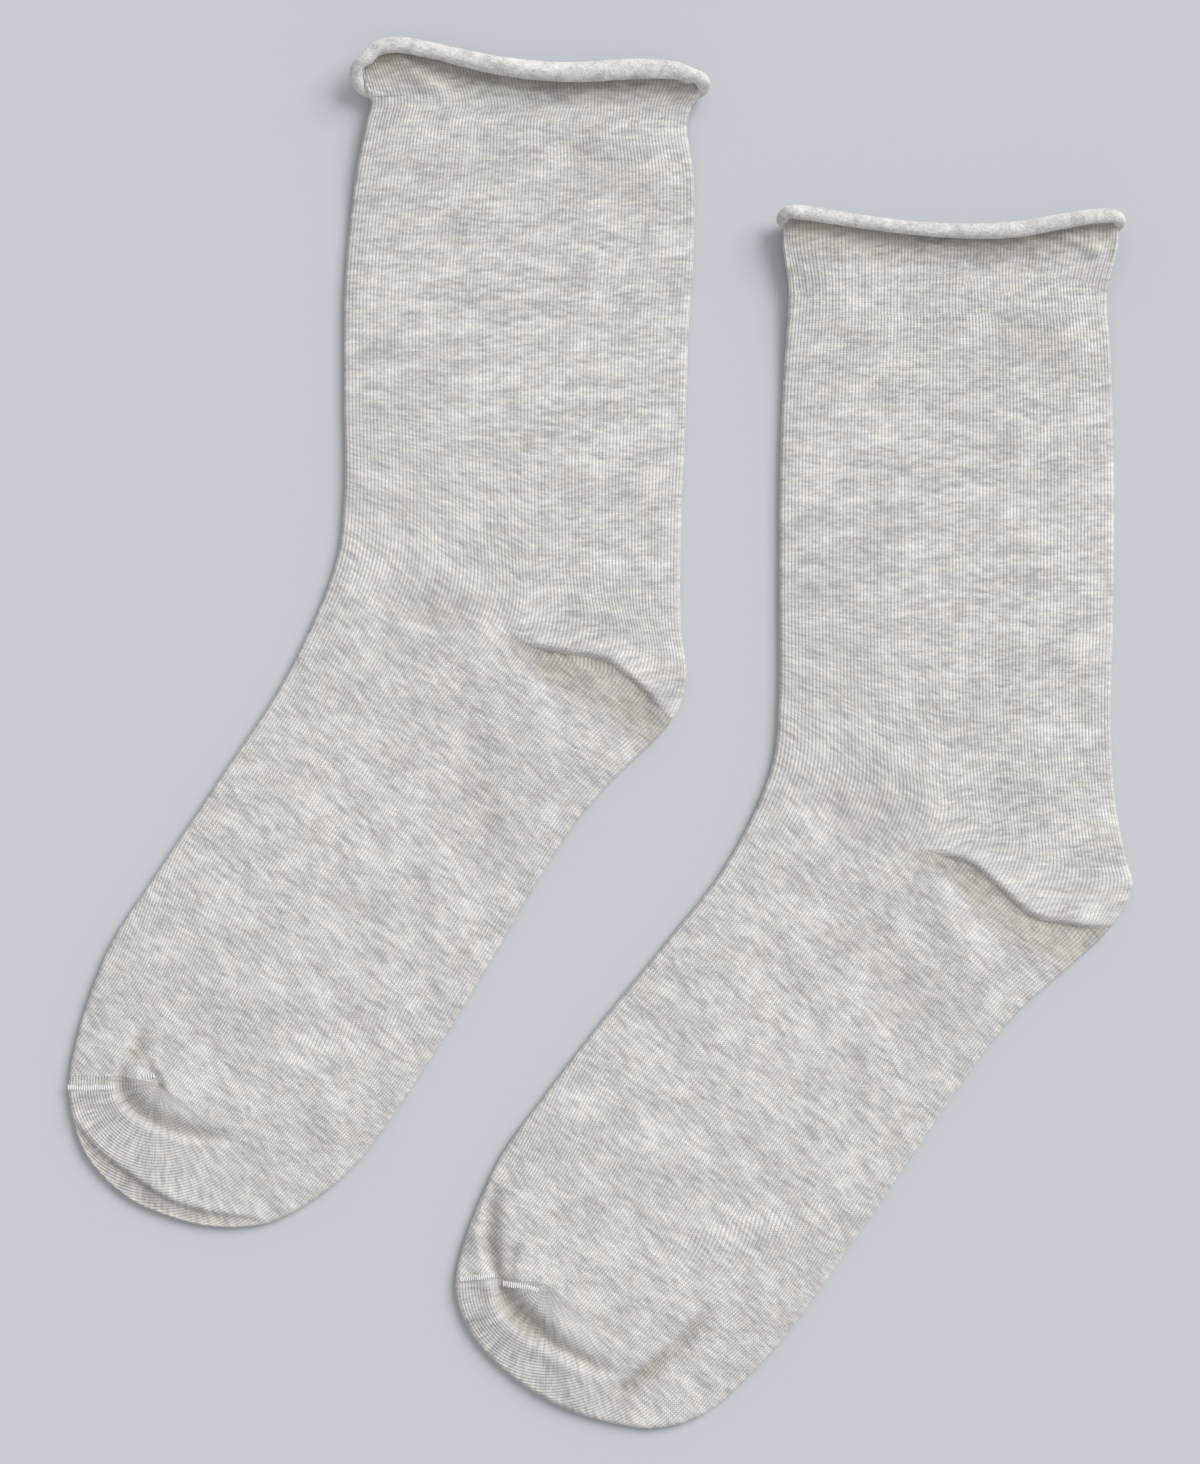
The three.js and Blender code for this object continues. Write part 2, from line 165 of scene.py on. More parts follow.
# The rolled mouth of each sock in millimetres: the roll's line over the front from left to right and under
# the back from right to left, its radius and the band's lower edge from left to right, the flare at the
# two sides, how proud, tapered and ragged the band's edge is, the elastic rib's reach, where the roll's
# shade begins and ends on the band, the seed of the roll's lumps, and the flat sizes of the band and the
# roll in metres.
CUFF = {
    "left": {
        "front": [(-69.8, 199), (-66.8, 202.7), (-61, 204.0), (-50.4, 202.3), (-35.1, 198.6), (-23.7, 196.7),
                  (-8.4, 195.6), (13, 196.6), (24.6, 195.8), (27.0, 194.2)],
        "back": [(26.8, 191.5), (18, 191), (-10, 190), (-40, 190.2), (-62, 190.6), (-68.2, 191.2)],
        "radius": [2.5, 2.9, 2.9, 3.2, 3.4, 3.5, 3.7, 3.5, 2.9],
        "front_height": 7.3,
        "back_height": 6.0,
        "edge": [183.4, 182.6, 181.4, 180.2, 179.2, 178.6],
        "flare": (0.0, 2.2),
        "proud": 0.04,
        "taper": 3.0,
        "ragged": 0.12,
        "elastic": None,
        "shade": (0.25, 0.85),
        "seed": 31,
        "band_flat": (0.198, 0.019),
        "roll_flat": (0.205, 0.021),
    },
    "right": {
        "front": [(58.0, 154.4), (62.5, 153.9), (70.5, 152.6), (89.1, 150), (106.2, 148.7), (122.7, 149),
                  (137.4, 151.5), (147, 153.1), (151.2, 153.2)],
        "back": [(150.8, 150.8), (138, 149.6), (122, 147.2), (106, 146.9), (89, 148.1), (70, 150.4),
                 (58.4, 151.6)],
        "radius": [2.6, 2.5, 2.4, 2.6, 2.9, 2.8, 2.6],
        "front_height": 7.3,
        "back_height": 5.4,
        "edge": [124.4, 124.8, 124.2, 124.9, 124.3, 124.8, 124.2],
        "flare": (2.6, 2.6),
        "proud": 0.12,
        "taper": 1.0,
        "ragged": 0.35,
        "elastic": (124.0, 139.6),
        "shade": (0.55, 0.95),
        "seed": 47,
        "band_flat": (0.198, 0.028),
        "roll_flat": (0.205, 0.017),
    },
}

# Soft lines in the band and the flared cloth above it, as in CREASES.
BAND_CREASES = {
    "left": [
        ([(-62, 204), (-58, 199), (-52, 194), (-44, 189)], 1.3, 2.6),
        ([(-54, 183.5), (-48, 183.2), (-42, 183)], -0.7, 1.2),
        ([(20, 192), (16, 186), (14, 180)], 0.35, 3.0),
        ([(-20, 196), (-16, 190), (-14, 183)], -0.3, 4.0),
    ],
    "right": [
        ([(58, 140), (76, 140), (100, 139.4), (124, 139.6), (148, 140)], -0.7, 2.0),
        ([(149.4, 141.3), (144, 145), (136, 148)], 1.3, 1.7),
        ([(149.4, 141.3), (147, 146), (145, 150)], 1.1, 1.4),
        ([(60, 141), (64, 146), (70, 150)], 0.5, 2.0),
    ],
}


def smooth_line(points, samples=14):
    """A centripetal Catmull-Rom curve through the points, as a dense line."""
    pts = np.asarray(points, float)
    pts = np.vstack([2 * pts[0] - pts[1], pts, 2 * pts[-1] - pts[-2]])
    out = []
    for a, b, c, d in zip(pts[:-3], pts[1:-2], pts[2:-1], pts[3:]):
        t1 = max(np.linalg.norm(b - a), 1e-9) ** 0.5
        t2 = t1 + max(np.linalg.norm(c - b), 1e-9) ** 0.5
        t3 = t2 + max(np.linalg.norm(d - c), 1e-9) ** 0.5
        t = np.linspace(t1, t2, samples, endpoint=False)[:, None]
        ab = (t1 - t) / t1 * a + t / t1 * b
        bc = (t2 - t) / (t2 - t1) * b + (t - t1) / (t2 - t1) * c
        cd = (t3 - t) / (t3 - t2) * c + (t - t2) / (t3 - t2) * d
        abc = (t2 - t) / t2 * ab + t / t2 * bc
        bcd = (t3 - t) / (t3 - t1) * bc + (t - t1) / (t3 - t1) * cd
        out.append((t2 - t) / (t2 - t1) * abc + (t - t1) / (t2 - t1) * bcd)
    out.append(pts[-2])
    return np.vstack(out)


def lengths(line):
    """The length along a line at each of its points."""
    steps = np.linalg.norm(np.diff(line, axis=0), axis=1)
    return np.concatenate([[0.0], np.cumsum(steps)])


def read(line, where):
    """The points at these lengths along a line."""
    run = lengths(line)
    where = np.asarray(where, float)
    return np.stack([np.interp(where, run, line[:, k]) for k in range(line.shape[1])], -1)


def evenly(line, step=1.6):
    """A line read again at even steps."""
    return read(line, np.arange(0, lengths(line)[-1], step))


def place(line, point):
    """The length along the line at which it passes nearest to a point."""
    run = lengths(line)
    return run[np.argmin(np.linalg.norm(line - np.asarray(point, float), axis=1))]


def measure(points, line):
    """For each point, its signed distance to the line (left is positive), and the length along the line."""
    run = lengths(line)
    a = line[:-1]
    ab = line[1:] - a
    ll = np.maximum((ab ** 2).sum(1), 1e-12)
    side = np.empty(len(points))
    along = np.empty(len(points))
    for start in range(0, len(points), 4000):
        p = points[start:start + 4000]
        ap = p[:, None, :] - a[None]
        f = np.clip((ap * ab[None]).sum(2) / ll, 0, 1)
        off = ap - f[..., None] * ab[None]
        d2 = (off ** 2).sum(2)
        k = np.argmin(d2, axis=1)
        n = np.arange(len(p))
        cross = ab[k, 0] * ap[n, k, 1] - ab[k, 1] * ap[n, k, 0]
        side[start:start + 4000] = np.where(cross < 0, -1, 1) * np.sqrt(d2[n, k])
        along[start:start + 4000] = run[k] + f[n, k] * np.sqrt(ll[k])
    return side, along


def ease(x, low=0.0, high=1.0):
    """Goes smoothly from 0 at low to 1 at high."""
    x = np.clip((np.asarray(x, float) - low) / (high - low), 0, 1)
    return x * x * (3 - 2 * x)


def spaced(length, coarse, fine=None, near_start=False, near_end=False):
    """Fractions from 0 to 1 with the given spacing, closer near an end where a fold needs it."""
    fine = fine or coarse

    def step(s):
        near = min(s if near_start else 1e9, length - s if near_end else 1e9)
        return fine + (coarse - fine) * float(ease(near, 3.0, 16.0))

    s = 0.0
    out = [0.0]
    while s < length:
        s += step(s)
        out.append(s)
    out = np.asarray(out)
    return out / out[-1]


def bowed(a, m, b, t):
    """A row of the knitting from a to b that passes m, read by length."""
    fa = np.linalg.norm(m - a)
    fb = np.linalg.norm(b - m)
    k = np.clip(fa / max(fa + fb, 1e-9), 0.15, 0.85)
    c = (m - (1 - k) ** 2 * a - k ** 2 * b) / (2 * k * (1 - k))
    s = np.linspace(0, 1, 61)[:, None]
    line = (1 - s) ** 2 * a + 2 * s * (1 - s) * c + s ** 2 * b
    run = lengths(line)
    return read(line, np.asarray(t) * run[-1]), run[-1]


def mesh_object(name, verts, faces, material, uvs=None):
    """A smooth mesh object with its place in its mesh. uvs holds one pair for each corner."""
    mesh = bpy.data.meshes.new(name)
    mesh.from_pydata([tuple(v) for v in np.asarray(verts) * MM], [], faces)
    if uvs is not None:
        layer = mesh.uv_layers.new(name="knit")
        layer.data.foreach_set("uv", np.asarray(uvs, np.float32).ravel())
    mesh.materials.append(material)
    mesh.polygons.foreach_set("use_smooth", [True] * len(mesh.polygons))
    mesh.update()
    return linked(name, mesh)


class Sock:
    """The plan of one sock in millimetres, read as rails, rows and heights."""

    def __init__(self, which, fabric):
        plan = PLAN[which]
        self.which = which
        self.plan = plan
        self.rim = fabric.rim_radius / MM
        self.loft = fabric.loft / MM
        self.wall = fabric.wall / MM
        self.wale = fabric.wale / MM
        self.half = HALF_WALES * self.wale
        self.front = smooth_line(plan["front"])
        self.back = smooth_line(plan["back"])
        tip = plan["front"][-1]
        self.middle = smooth_line([plan["waist"], plan["heel"], plan["toe_end"], tip])
        self.tip = np.array(tip, float)
        self.heel = np.array(plan["heel"], float)
        self.toe = np.array(plan["toe_end"], float)
        keys = [("front", "heel_front", "toe_front"), ("middle", "heel", "toe_end"),
                ("back", "heel_back", "toe_back")]
        self.keys = []
        for rail, heel, toe in keys:
            line = getattr(self, rail)
            self.keys.append([0.0, place(line, plan[heel]), place(line, plan[toe]), lengths(line)[-1]])
        self.outline = evenly(np.vstack([self.front, self.back[::-1][1:]]))

    def stations(self):
        """Where each row lies: its region and its fraction through it, closest together at the heel fold."""
        run = self.keys[1]
        rows = [(LEG, f) for f in spaced(run[1] - run[0], 1.25, 0.3, near_end=True)[:-1]]
        rows += [(FOOT, f) for f in spaced(run[2] - run[1], 1.2, 0.3, near_start=True)[:-1]]
        depth = run[3] - run[2]
        rim = [self.rim * (1 - math.cos(math.radians(a))) for a in (76, 60, 44, 28, 14, 5)]
        body = (depth - self.rim) / depth
        rows += [(TOE, f * body) for f in spaced(depth - self.rim, 0.8)]
        rows += [(TOE, 1 - r / depth) for r in rim]
        return rows

    def row(self, region, f, t_of):
        """One row's points from front to back. t_of gives its fractions for a row of that length."""
        ends = []
        for rail, key in zip((self.front, self.middle, self.back), self.keys):
            g = f if region != TOE or rail is self.middle else 1 - math.sqrt(1 - f)
            ends.append(read(rail, key[region] + g * (key[region + 1] - key[region])))
        a, m, b = ends
        t = t_of(bowed(a, m, b, [0.0])[1])
        points, length = bowed(a, m, b, t)
        if region != TOE:
            run = self.keys[1]
            away = (1 - f) * run[1] if region == LEG else f * (run[2] - run[1])
            near = math.exp(-(away / 16.0) ** 2)
            if near > 0.002:
                points = points + near * self.fold_shift(t)
        return points, t, length

    def fold_shift(self, t):
        """How far the heel fold's own line lies from a plain bowed row."""
        a = read(self.front, self.keys[0][1])
        b = read(self.back, self.keys[2][1])
        line = smooth_line([tuple(a), tuple((a + self.heel) / 2), tuple(self.heel)]
                           + list(self.plan["heel_fold"]) + [tuple(b)])
        plain_row, _ = bowed(a, self.heel, b, t)
        return read(line, np.asarray(t) * lengths(line)[-1]) - plain_row

    def heel_line(self):
        """The line along which the leg laps over the heel, from the pivot to the back."""
        return smooth_line([tuple(self.heel)] + self.plan["heel_fold"]
                           + [tuple(read(self.back, self.keys[2][1]))])

    def edge_bend(self, depth):
        """How much longer the cloth is than its plan, from a depth in to where its edge has turned down."""
        d = np.clip(depth / self.rim, 0, 1)
        return self.rim * (math.pi / 2 - 1 - (np.arccos(1 - d) - d))

    def whole(self, u):
        """Fits the wales with the turned edges added into half of the tube."""
        extra = self.rim * (math.pi / 2 - 1)
        return (u + extra) / (self.half + 2 * extra) * self.half

    def lift(self, y):
        """The leg rises to meet the cuff, which lies on its own roll."""
        return MOUTH_LIFT * ease(y, self.plan["waist_y"] - 34, self.plan["waist_y"] + 8)

    def heights(self, xy, depth):
        """Height of the upper side and of the under side for points at a depth from the outline."""
        r = self.rim
        d = np.minimum(depth, r)
        turned_down = r * np.sqrt(np.maximum(0.0, 1 - (1 - d / r) ** 2))
        loft = self.loft * (1 - np.exp(-(np.maximum(depth - 0.4, 0) / 9.0) ** 1.3))
        lift = self.lift(xy[:, 1])
        return r + turned_down + loft + lift, r - turned_down + lift * 0.8


class Rows:
    """The rows of a sock's knitting from front to back, with each point's depth from the outline."""

    def __init__(self, sock):
        rim = np.array([sock.rim * (1 - math.cos(math.radians(a))) for a in range(0, 91, 15)])

        def fractions(length):
            edge = rim * min(1.0, length / 9.0) / max(length, 1e-6)
            inside = np.linspace(edge[-1], 1 - edge[-1], COLUMNS_INSIDE + 2)[1:-1]
            return np.concatenate([edge, inside, 1 - edge[::-1]])

        stations = sock.stations()
        rows = [sock.row(region, f, fractions) for region, f in stations]
        self.plan = np.array([points for points, _, _ in rows])
        self.across = np.array([t for _, t, _ in rows])
        self.widths = [length for _, _, length in rows]
        self.shape = self.across.shape
        self.count, self.columns = self.shape
        self.middle = self.plan[:, self.columns // 2]
        regions = np.array([region for region, _ in stations])
        self.heel_row = int(np.argmax(regions == FOOT))
        self.toe_row = int(np.argmax(regions == TOE))
        self.xy = self.plan.reshape(-1, 2)
        depth = np.abs(measure(self.xy, sock.outline)[0]).reshape(self.shape)
        depth[:, 0] = 0
        depth[:, -1] = 0
        self.depth = depth.ravel()
        self.high, self.low = sock.heights(self.xy, self.depth)

    def share(self, row, pivot):
        """How far across its row a pivot lies, from the front."""
        return float(np.linalg.norm(pivot - self.plan[row, 0]) / self.widths[row])


def lowest(a, reach):
    """The lowest value near each place of a grid."""
    out = a
    for axis in (0, 1):
        pad = [(0, 0), (0, 0)]
        pad[axis] = (reach, reach)
        wide = np.pad(out, pad, mode="edge")
        count = out.shape[axis]
        near = [np.take(wide, range(k, k + count), axis) for k in range(2 * reach + 1)]
        out = np.minimum.reduce(near)
    return out


def wander(xy, seed):
    """Slow unevenness of the cloth, between about -1 and 1."""
    x, y = xy[:, 0], xy[:, 1]
    out = np.zeros(len(xy))
    rng = np.random.default_rng(seed)
    for wave, size in ((62, 0.42), (41, 0.3), (27, 0.26), (17, 0.16), (11, 0.1)):
        for _ in range(3):
            angle, phase, _ = rng.uniform(0, 6.283, 3)
            out += size / 1.7 * np.sin((x * math.cos(angle) + y * math.sin(angle)) * 6.283 / wave + phase)
    return out


def relief(sock, xy, depth):
    """Slow unevenness and the creases of the upper side, and the painted shade that darkens each point in a
    trough.
    """
    high = SOCK_UNEVEN * wander(xy, sock.plan["seed"]) * ease(depth, 0.2, 5.0)
    shade_share = np.zeros(len(xy))
    for points, height, width in CREASES[sock.which]:
        line = smooth_line(points)
        off, along = measure(xy, line)
        total = lengths(line)[-1]
        fade = ease(along, 0, total * 0.3) * ease(total - along, 0, total * 0.35)
        lopsided = np.where(off > 0, off / width, off / (width * 1.5))
        shape = np.exp(-lopsided ** 2) * fade * ease(depth, 0, 3)
        high = high + height * shape
        # Painted shade: troughs lower than half a millimetre darken the colour.
        if height < -0.5:
            shade_share = np.maximum(shade_share, 0.34 * shape)
    return high, shade_share


def lap(p, size):
    """A lapped fold's section: how far the cloth goes across the line and how high it is."""
    at = [-1, -0.8, -0.64, -0.52, -0.43, -0.36, -0.28, -0.16, 0, 0.3, 0.5, 0.7, 0.86, 1]
    up = [0, 0.42, 0.82, 1.0, 0.86, 0.42, -0.1, -0.3, -0.45, -0.7, -1.0, -0.9, -0.4, 0]
    high = np.interp(p, at, up)
    high = np.where(high > 0, high * size["rise"], high * size["dip"])
    return -size["reach"] * np.sin(math.pi * p), high


def lapped(top, xy, line, size, fade_start, fade_end, depth):
    """Lays the cloth on the left of the line over the cloth on its right."""
    side, along = measure(xy, line)
    side = side - 1.6
    total = lengths(line)[-1]
    p = np.clip(-side / size["half"], -1, 1)
    inside = (np.abs(side) < size["half"]) & (along > 1e-6) & (along < total - 1e-6)
    fade = ease(along, 0, fade_start) * ease(total - along, 0, fade_end) * ease(depth, 0.0, 2.2)
    shift, high = lap(p, size)
    ahead = read(line, np.minimum(along + 0.5, total)) - read(line, np.maximum(along - 0.5, 0))
    ahead = ahead / np.maximum(np.linalg.norm(ahead, axis=1), 1e-9)[:, None]
    right = np.stack([ahead[:, 1], -ahead[:, 0]], -1)
    amount = np.where(inside, fade, 0)
    top[:, :2] += right * (shift * amount)[:, None]
    top[:, 2] += high * amount


def knit_maps(sock, rows):
    """The knitting's own coordinates in millimetres, wales and courses, for the leg, the foot and the toe."""
    plan, across, half = rows.plan, rows.across, sock.half
    heel_row, toe_row = rows.heel_row, rows.toe_row
    run = lengths(rows.middle)
    foot_length = np.linalg.norm(sock.toe - sock.heel)
    ahead = (sock.toe - sock.heel) / foot_length
    back = np.array([-ahead[1], ahead[0]])

    # The leg's courses lie level, and in front of the heel's pivot they swing round to the foot's.
    u_leg = across * half
    v_leg = plan[0, 0, 1] - plan[..., 1]
    v_heel = plan[0, 0, 1] - sock.heel[1]
    v_foot = v_heel + (plan - sock.heel) @ ahead
    t_heel = rows.share(heel_row, sock.heel)
    swung = ease(run[heel_row] - run, 74, 0)[:, None]
    in_front = 1 - ease(across, t_heel - 0.01, t_heel + 0.12)
    v_leg = v_leg + swung * in_front * (v_foot - v_leg)

    # The foot's wales run evenly between its two edges.
    from_front, from_back = [np.abs(measure(rows.xy, evenly(rail))[0]).reshape(rows.shape)
                             for rail in (sock.front, sock.back)]
    u_even = from_front / np.maximum(from_front + from_back, 1e-6) * half
    past_heel = ease(run - run[heel_row], 4, 50)[:, None]
    u_foot = u_leg + np.maximum(ease(across, t_heel, t_heel + 0.12), past_heel) * (u_even - u_leg)

    # Round the toe the courses turn about the pivot, and the wales run round it.
    t_toe = float(np.clip(rows.share(toe_row, sock.toe), 0.1, 0.9))
    arm = plan - sock.toe
    arm_ahead, arm_back = arm @ ahead, arm @ back
    scale = half / max(rows.widths[toe_row], 1)
    u_straight = t_toe * half + arm_back * scale
    u_foot = u_foot + ease(arm_ahead, -64, -12) * (u_straight - u_foot)
    turn = np.unwrap(np.arctan2(arm_ahead, arm_back), axis=1)
    turn = turn + 2 * math.pi * (turn < -2.5)
    u_round = t_toe * half + np.linalg.norm(arm, axis=2) * scale
    v_round = v_heel + foot_length + TOE_COURSES * turn
    on_foot = (arm_ahead > 0) & (arm_back > 0)
    on_toe = (arm_ahead > 0) | (arm_back < 0)
    u_toe = np.where(on_toe, u_round, u_foot)
    v_toe = np.where(on_toe, v_round, v_foot)

    # Round the edge the wales follow the cloth's length and not its plan.
    bend = sock.edge_bend(rows.depth.reshape(rows.shape))
    outward = bend * np.where(across < 0.5, -1, 1)
    u_leg = sock.whole(u_leg + outward)
    u_foot = np.where(on_foot, u_round + bend * scale, sock.whole(u_foot + outward))
    v_foot = np.where(on_foot, v_round, v_foot)
    u_toe = u_toe + bend * scale

    def around(a, under):
        return np.concatenate([a, under[:, -2:0:-1]], axis=1)

    return [(around(u_leg, 2 * half - u_leg), around(v_leg, v_leg)),
            (around(u_foot, 2 * half - u_foot), around(v_foot, v_foot)),
            (around(u_toe, u_toe), around(v_toe, v_toe))]


def heel_wedge(sock, top, xy, depth):
    """Lays the leg over the heel's wedge, and gives the painted shade that darkens the wedge below the fold.
    """
    fold = sock.heel_line()
    off, along = measure(xy, fold)
    total = lengths(fold)[-1]
    ends = ease(along, 0, 16) * ease(total - along, 0, 9) * ease(depth, 0, 3)
    under = np.where(off < 0, np.exp(-(off / 10.0) ** 2), np.exp(-(off / 2.2) ** 2))
    top[:, 2] -= HEEL_LAP["sink"] * under * ends
    above = np.where(off > 0, np.exp(-((off - 2.5) / 5.0) ** 2), np.exp(-((off - 2.5) / 2.0) ** 2))
    top[:, 2] += HEEL_LAP["stand"] * above * ends
    # Painted shade: the wedge below the fold is darkened in colour, reaching out to heel_reach from the line.
    reach = 3.0 + sock.plan["heel_reach"] * ease(along, 0, 30)
    painted_shade = np.exp(-(np.minimum(off, 0) / reach) ** 4) * ease(along, 0, 7) * (1 - ease(off, 0.2, 1.4))
    lapped(top, xy, fold, HEEL_LAP, 14.0, 8.0, depth)
    return painted_shade


def upper_side(sock, rows):
    """The upper side with its creases, the heel's wedge and the toe's pleats, and the painted shade in its
    folds and troughs.
    """
    xy, depth = rows.xy, rows.depth
    top = np.column_stack([xy, rows.high])
    raised, shade_share = relief(sock, xy, depth)
    top[:, 2] += raised
    wedge = heel_wedge(sock, top, xy, depth)
    pleats = TOE_WORK[sock.which](top, xy, depth)
    # The upper side never sinks into the under side.
    inward = ease(depth, 0.3, 3.0)
    least = rows.low + 1.1 * inward
    over = top[:, 2] - least
    top[:, 2] = least + (over + np.sqrt(over ** 2 + 0.12 * inward)) / 2
    return top, np.maximum(np.maximum(wedge, shade_share), pleats)


def under_side(sock, rows):
    """The under side, which lies on the floor with a few shallow creases."""
    xy, depth = rows.xy, rows.depth
    bottom = np.column_stack([xy, rows.low])
    fold = sock.heel_line()
    off, along = measure(xy, fold)
    total = lengths(fold)[-1]
    groove = 0.7 * np.exp(-(off / 2.2) ** 2) * ease(along, 0, 8) * ease(total - along, 0, 4)
    bottom[:, 2] += groove * ease(depth, 1, 4)
    for points, height, width in CREASES[sock.which][1:6]:
        off, along = measure(xy, smooth_line([(x + 3, y - 5) for x, y in points]))
        bottom[:, 2] += 0.5 * abs(height) * np.exp(-(off / width) ** 2) * ease(depth, 1, 5)
    return bottom


def outer_faces(sock, rows, index):
    """The faces of the outer side with their knit coordinates. Each ring goes over the top and back below."""
    maps = knit_maps(sock, rows)
    nxt = np.roll(np.arange(index.shape[1]), -1)
    faces, uvs = [], []
    for i in range(rows.count - 1):
        uu, vv = maps[LEG if i < rows.heel_row else (FOOT if i < rows.toe_row else TOE)]
        faces.append(np.stack([index[i], index[i + 1], index[i + 1][nxt], index[i][nxt]], -1))
        u4 = np.stack([uu[i], uu[i + 1], uu[i + 1][nxt], uu[i][nxt]], -1)
        v4 = np.stack([vv[i], vv[i + 1], vv[i + 1][nxt], vv[i][nxt]], -1)
        if i < rows.toe_row:
            u4[-1, 2:] += 2 * sock.half
        uvs.append(np.stack([u4, v4], -1))
    faces = np.concatenate(faces).tolist()
    uvs = np.concatenate(uvs).reshape(-1, 2).tolist()
    # The tip is closed by one small face.
    uu, vv = maps[TOE]
    faces.append(index[-1][::-1].tolist())
    uvs += np.stack([uu[-1], vv[-1]], -1)[::-1].tolist()
    return faces, uvs


def inner_side(sock, rows, top, index, base):
    """The inner side: the plain form, a wall's thickness in, with rows and columns further apart."""
    to_tip = np.linalg.norm(rows.middle - sock.tip, axis=1)
    last = int(np.argmin(np.abs(to_tip - 4)))
    pick_rows = list(range(0, last, 4)) + [last]
    cols = np.arange(6, rows.columns - 6, 4)
    top_height = np.minimum(top[:, 2], rows.high).reshape(rows.shape)
    z_top = lowest(top_height, 4)[:, cols] - sock.wall
    z_low = np.minimum(rows.low.reshape(rows.shape)[:, cols] + sock.wall, z_top - 0.15)
    in_top = np.concatenate([rows.plan[:, cols], z_top[..., None]], 2)
    in_low = np.concatenate([rows.plan[:, cols], z_low[..., None]], 2)
    inner = np.concatenate([in_top, in_low[:, ::-1]], 1)[pick_rows]
    size = inner.shape[1]
    grid = base + np.arange(len(pick_rows) * size).reshape(len(pick_rows), size)
    faces = []
    for row, after in zip(grid[:-1], grid[1:]):
        for j in range(size):
            k = (j + 1) % size
            faces.append([int(row[j]), int(row[k]), int(after[k]), int(after[j])])
    faces.append(grid[-1].tolist())
    # The mouth's edge joins the inner side's first row to the outer side's.
    ring = index.shape[1]
    ring_at = [int(c) for c in cols] + [ring - int(c) for c in cols[::-1]]
    for j in range(size):
        k = (j + 1) % size
        start = ring_at[j]
        stop = ring_at[k] if ring_at[k] > start else ring_at[k] + ring
        for o in range(start, stop):
            faces.append([int(grid[0, j]), int(index[0, o % ring]), int(index[0, (o + 1) % ring])])
        faces.append([int(grid[0, j]), int(index[0, stop % ring]), int(grid[0, k])])
    return inner.reshape(-1, 3), faces


def sock_body(sock):
    """The leg, heel, foot and toe as one knitted tube with a wall, flattened as it lies."""
    rows = Rows(sock)
    top, painted_shade = upper_side(sock, rows)
    bottom = under_side(sock, rows)
    outer = np.concatenate([top.reshape(rows.shape + (3,)),
                            bottom.reshape(rows.shape + (3,))[:, -2:0:-1]], axis=1)
    index = np.arange(outer.shape[0] * outer.shape[1]).reshape(outer.shape[:2])
    faces, uvs = outer_faces(sock, rows, index)
    inner, inner_faces = inner_side(sock, rows, top, index, index.size)
    faces += inner_faces
    uvs += [(0.0, 0.0)] * sum(len(face) for face in inner_faces)
    verts = np.vstack([outer.reshape(-1, 3), inner])
    # Painted shade on the upper side, which the knit's colour reads.
    painted_shades = np.zeros(len(verts))
    painted_shades[index[:, :rows.columns].ravel()] = painted_shade
    return verts, faces, uvs, painted_shades


def left_toe(top, xy, depth):
    """Pleats and the lower layer's lip at the left sock's toe, and the painted shade in them."""
    lip = step_down(top, xy, [(-163, -109), (-155.7, -118.5), (-148.8, -126), (-141, -132),
                              (-132.9, -137.4), (-124.8, -141.6), (-116.7, -143.7), (-106, -145.2),
                              (-96, -147)], 2.2, 0.7, depth)
    outer = valley(top, xy, [(-100, -124.5), (-108.9, -122.7), (-124.2, -120.6), (-130.8, -118.5),
                             (-135, -116.4), (-139.8, -113.2), (-143.3, -108.9), (-144.3, -104.1),
                             (-142.8, -99.3), (-139.4, -94), (-136, -87)],
                   2.3, 1.1, 3.8, depth, 0.45, 0.1, 0.16)
    inner = valley(top, xy, [(-134.8, -97.5), (-134.2, -101), (-131.7, -104.7), (-129.6, -109)],
                   1.3, 1.0, 2.6, depth)
    return np.maximum(np.maximum(0.6 * outer, 0.5 * inner), 0.6 * lip)


def right_toe(top, xy, depth):
    """Pleats, the trough and the narrow lip at the right sock's toe, and the painted shade in them."""
    edge = valley(top, xy, [(10.8, -192.4), (3, -191.2), (-5, -188.6), (-13.8, -183.6), (-20, -178.2),
                            (-25.5, -173.4), (-29.8, -166.2), (-32.6, -158), (-33.6, -150),
                            (-32.6, -140), (-30.5, -131)], 2.7, 1.5, 3.0, depth, 0.3, 0.16)
    pit = valley(top, xy, [(-16, -183), (-23.4, -177.4), (-27.6, -173), (-31.2, -166)],
                 1.9, 2.2, 4.2, depth, 0.2, 0.2)
    inner = valley(top, xy, [(-24.5, -151), (-26.3, -158.5), (-26.0, -163), (-23, -166)],
                   1.1, 1.2, 2.6, depth)
    trough = valley(top, xy, [(3, -203), (6, -197.4), (12, -192.3), (18, -187.2), (24.3, -181.5),
                              (28.5, -176.1), (33, -170)], 2.3, 1.6, 3.2, depth, 0.2, 0.25)
    lip = step_down(top, xy, [(-44, -176), (-38.6, -185), (-30, -193.2), (-18, -199.4), (-4, -204.2)],
                    1.5, 0.6, depth)
    painted_shade = np.maximum(np.maximum(0.8 * edge, pit), np.maximum(0.5 * inner, 0.85 * trough))
    return np.maximum(painted_shade, 0.6 * lip)


def valley(top, xy, points, fall, narrow, wide, depth, start=0.25, end=0.35, ridge=0.4):
    """A pleat: a narrow trough, steep on its left and easing out on its right, with a ridge beside it. Gives
    the trough's share of painted shade.
    """
    line = smooth_line(points)
    off, along = measure(xy, line)
    total = lengths(line)[-1]
    fade = ease(along, 0, total * start) * ease(total - along, 0, total * end) * ease(depth, 0.3, 2.5)
    steep = np.where(off > 0, off / narrow, off / wide)
    top[:, 2] -= fall * np.exp(-steep ** 2) * fade
    top[:, 2] += ridge * fall * np.exp(-((off - narrow * 2.2) / (narrow * 1.7)) ** 2) * fade
    return np.exp(-steep ** 2) * fade


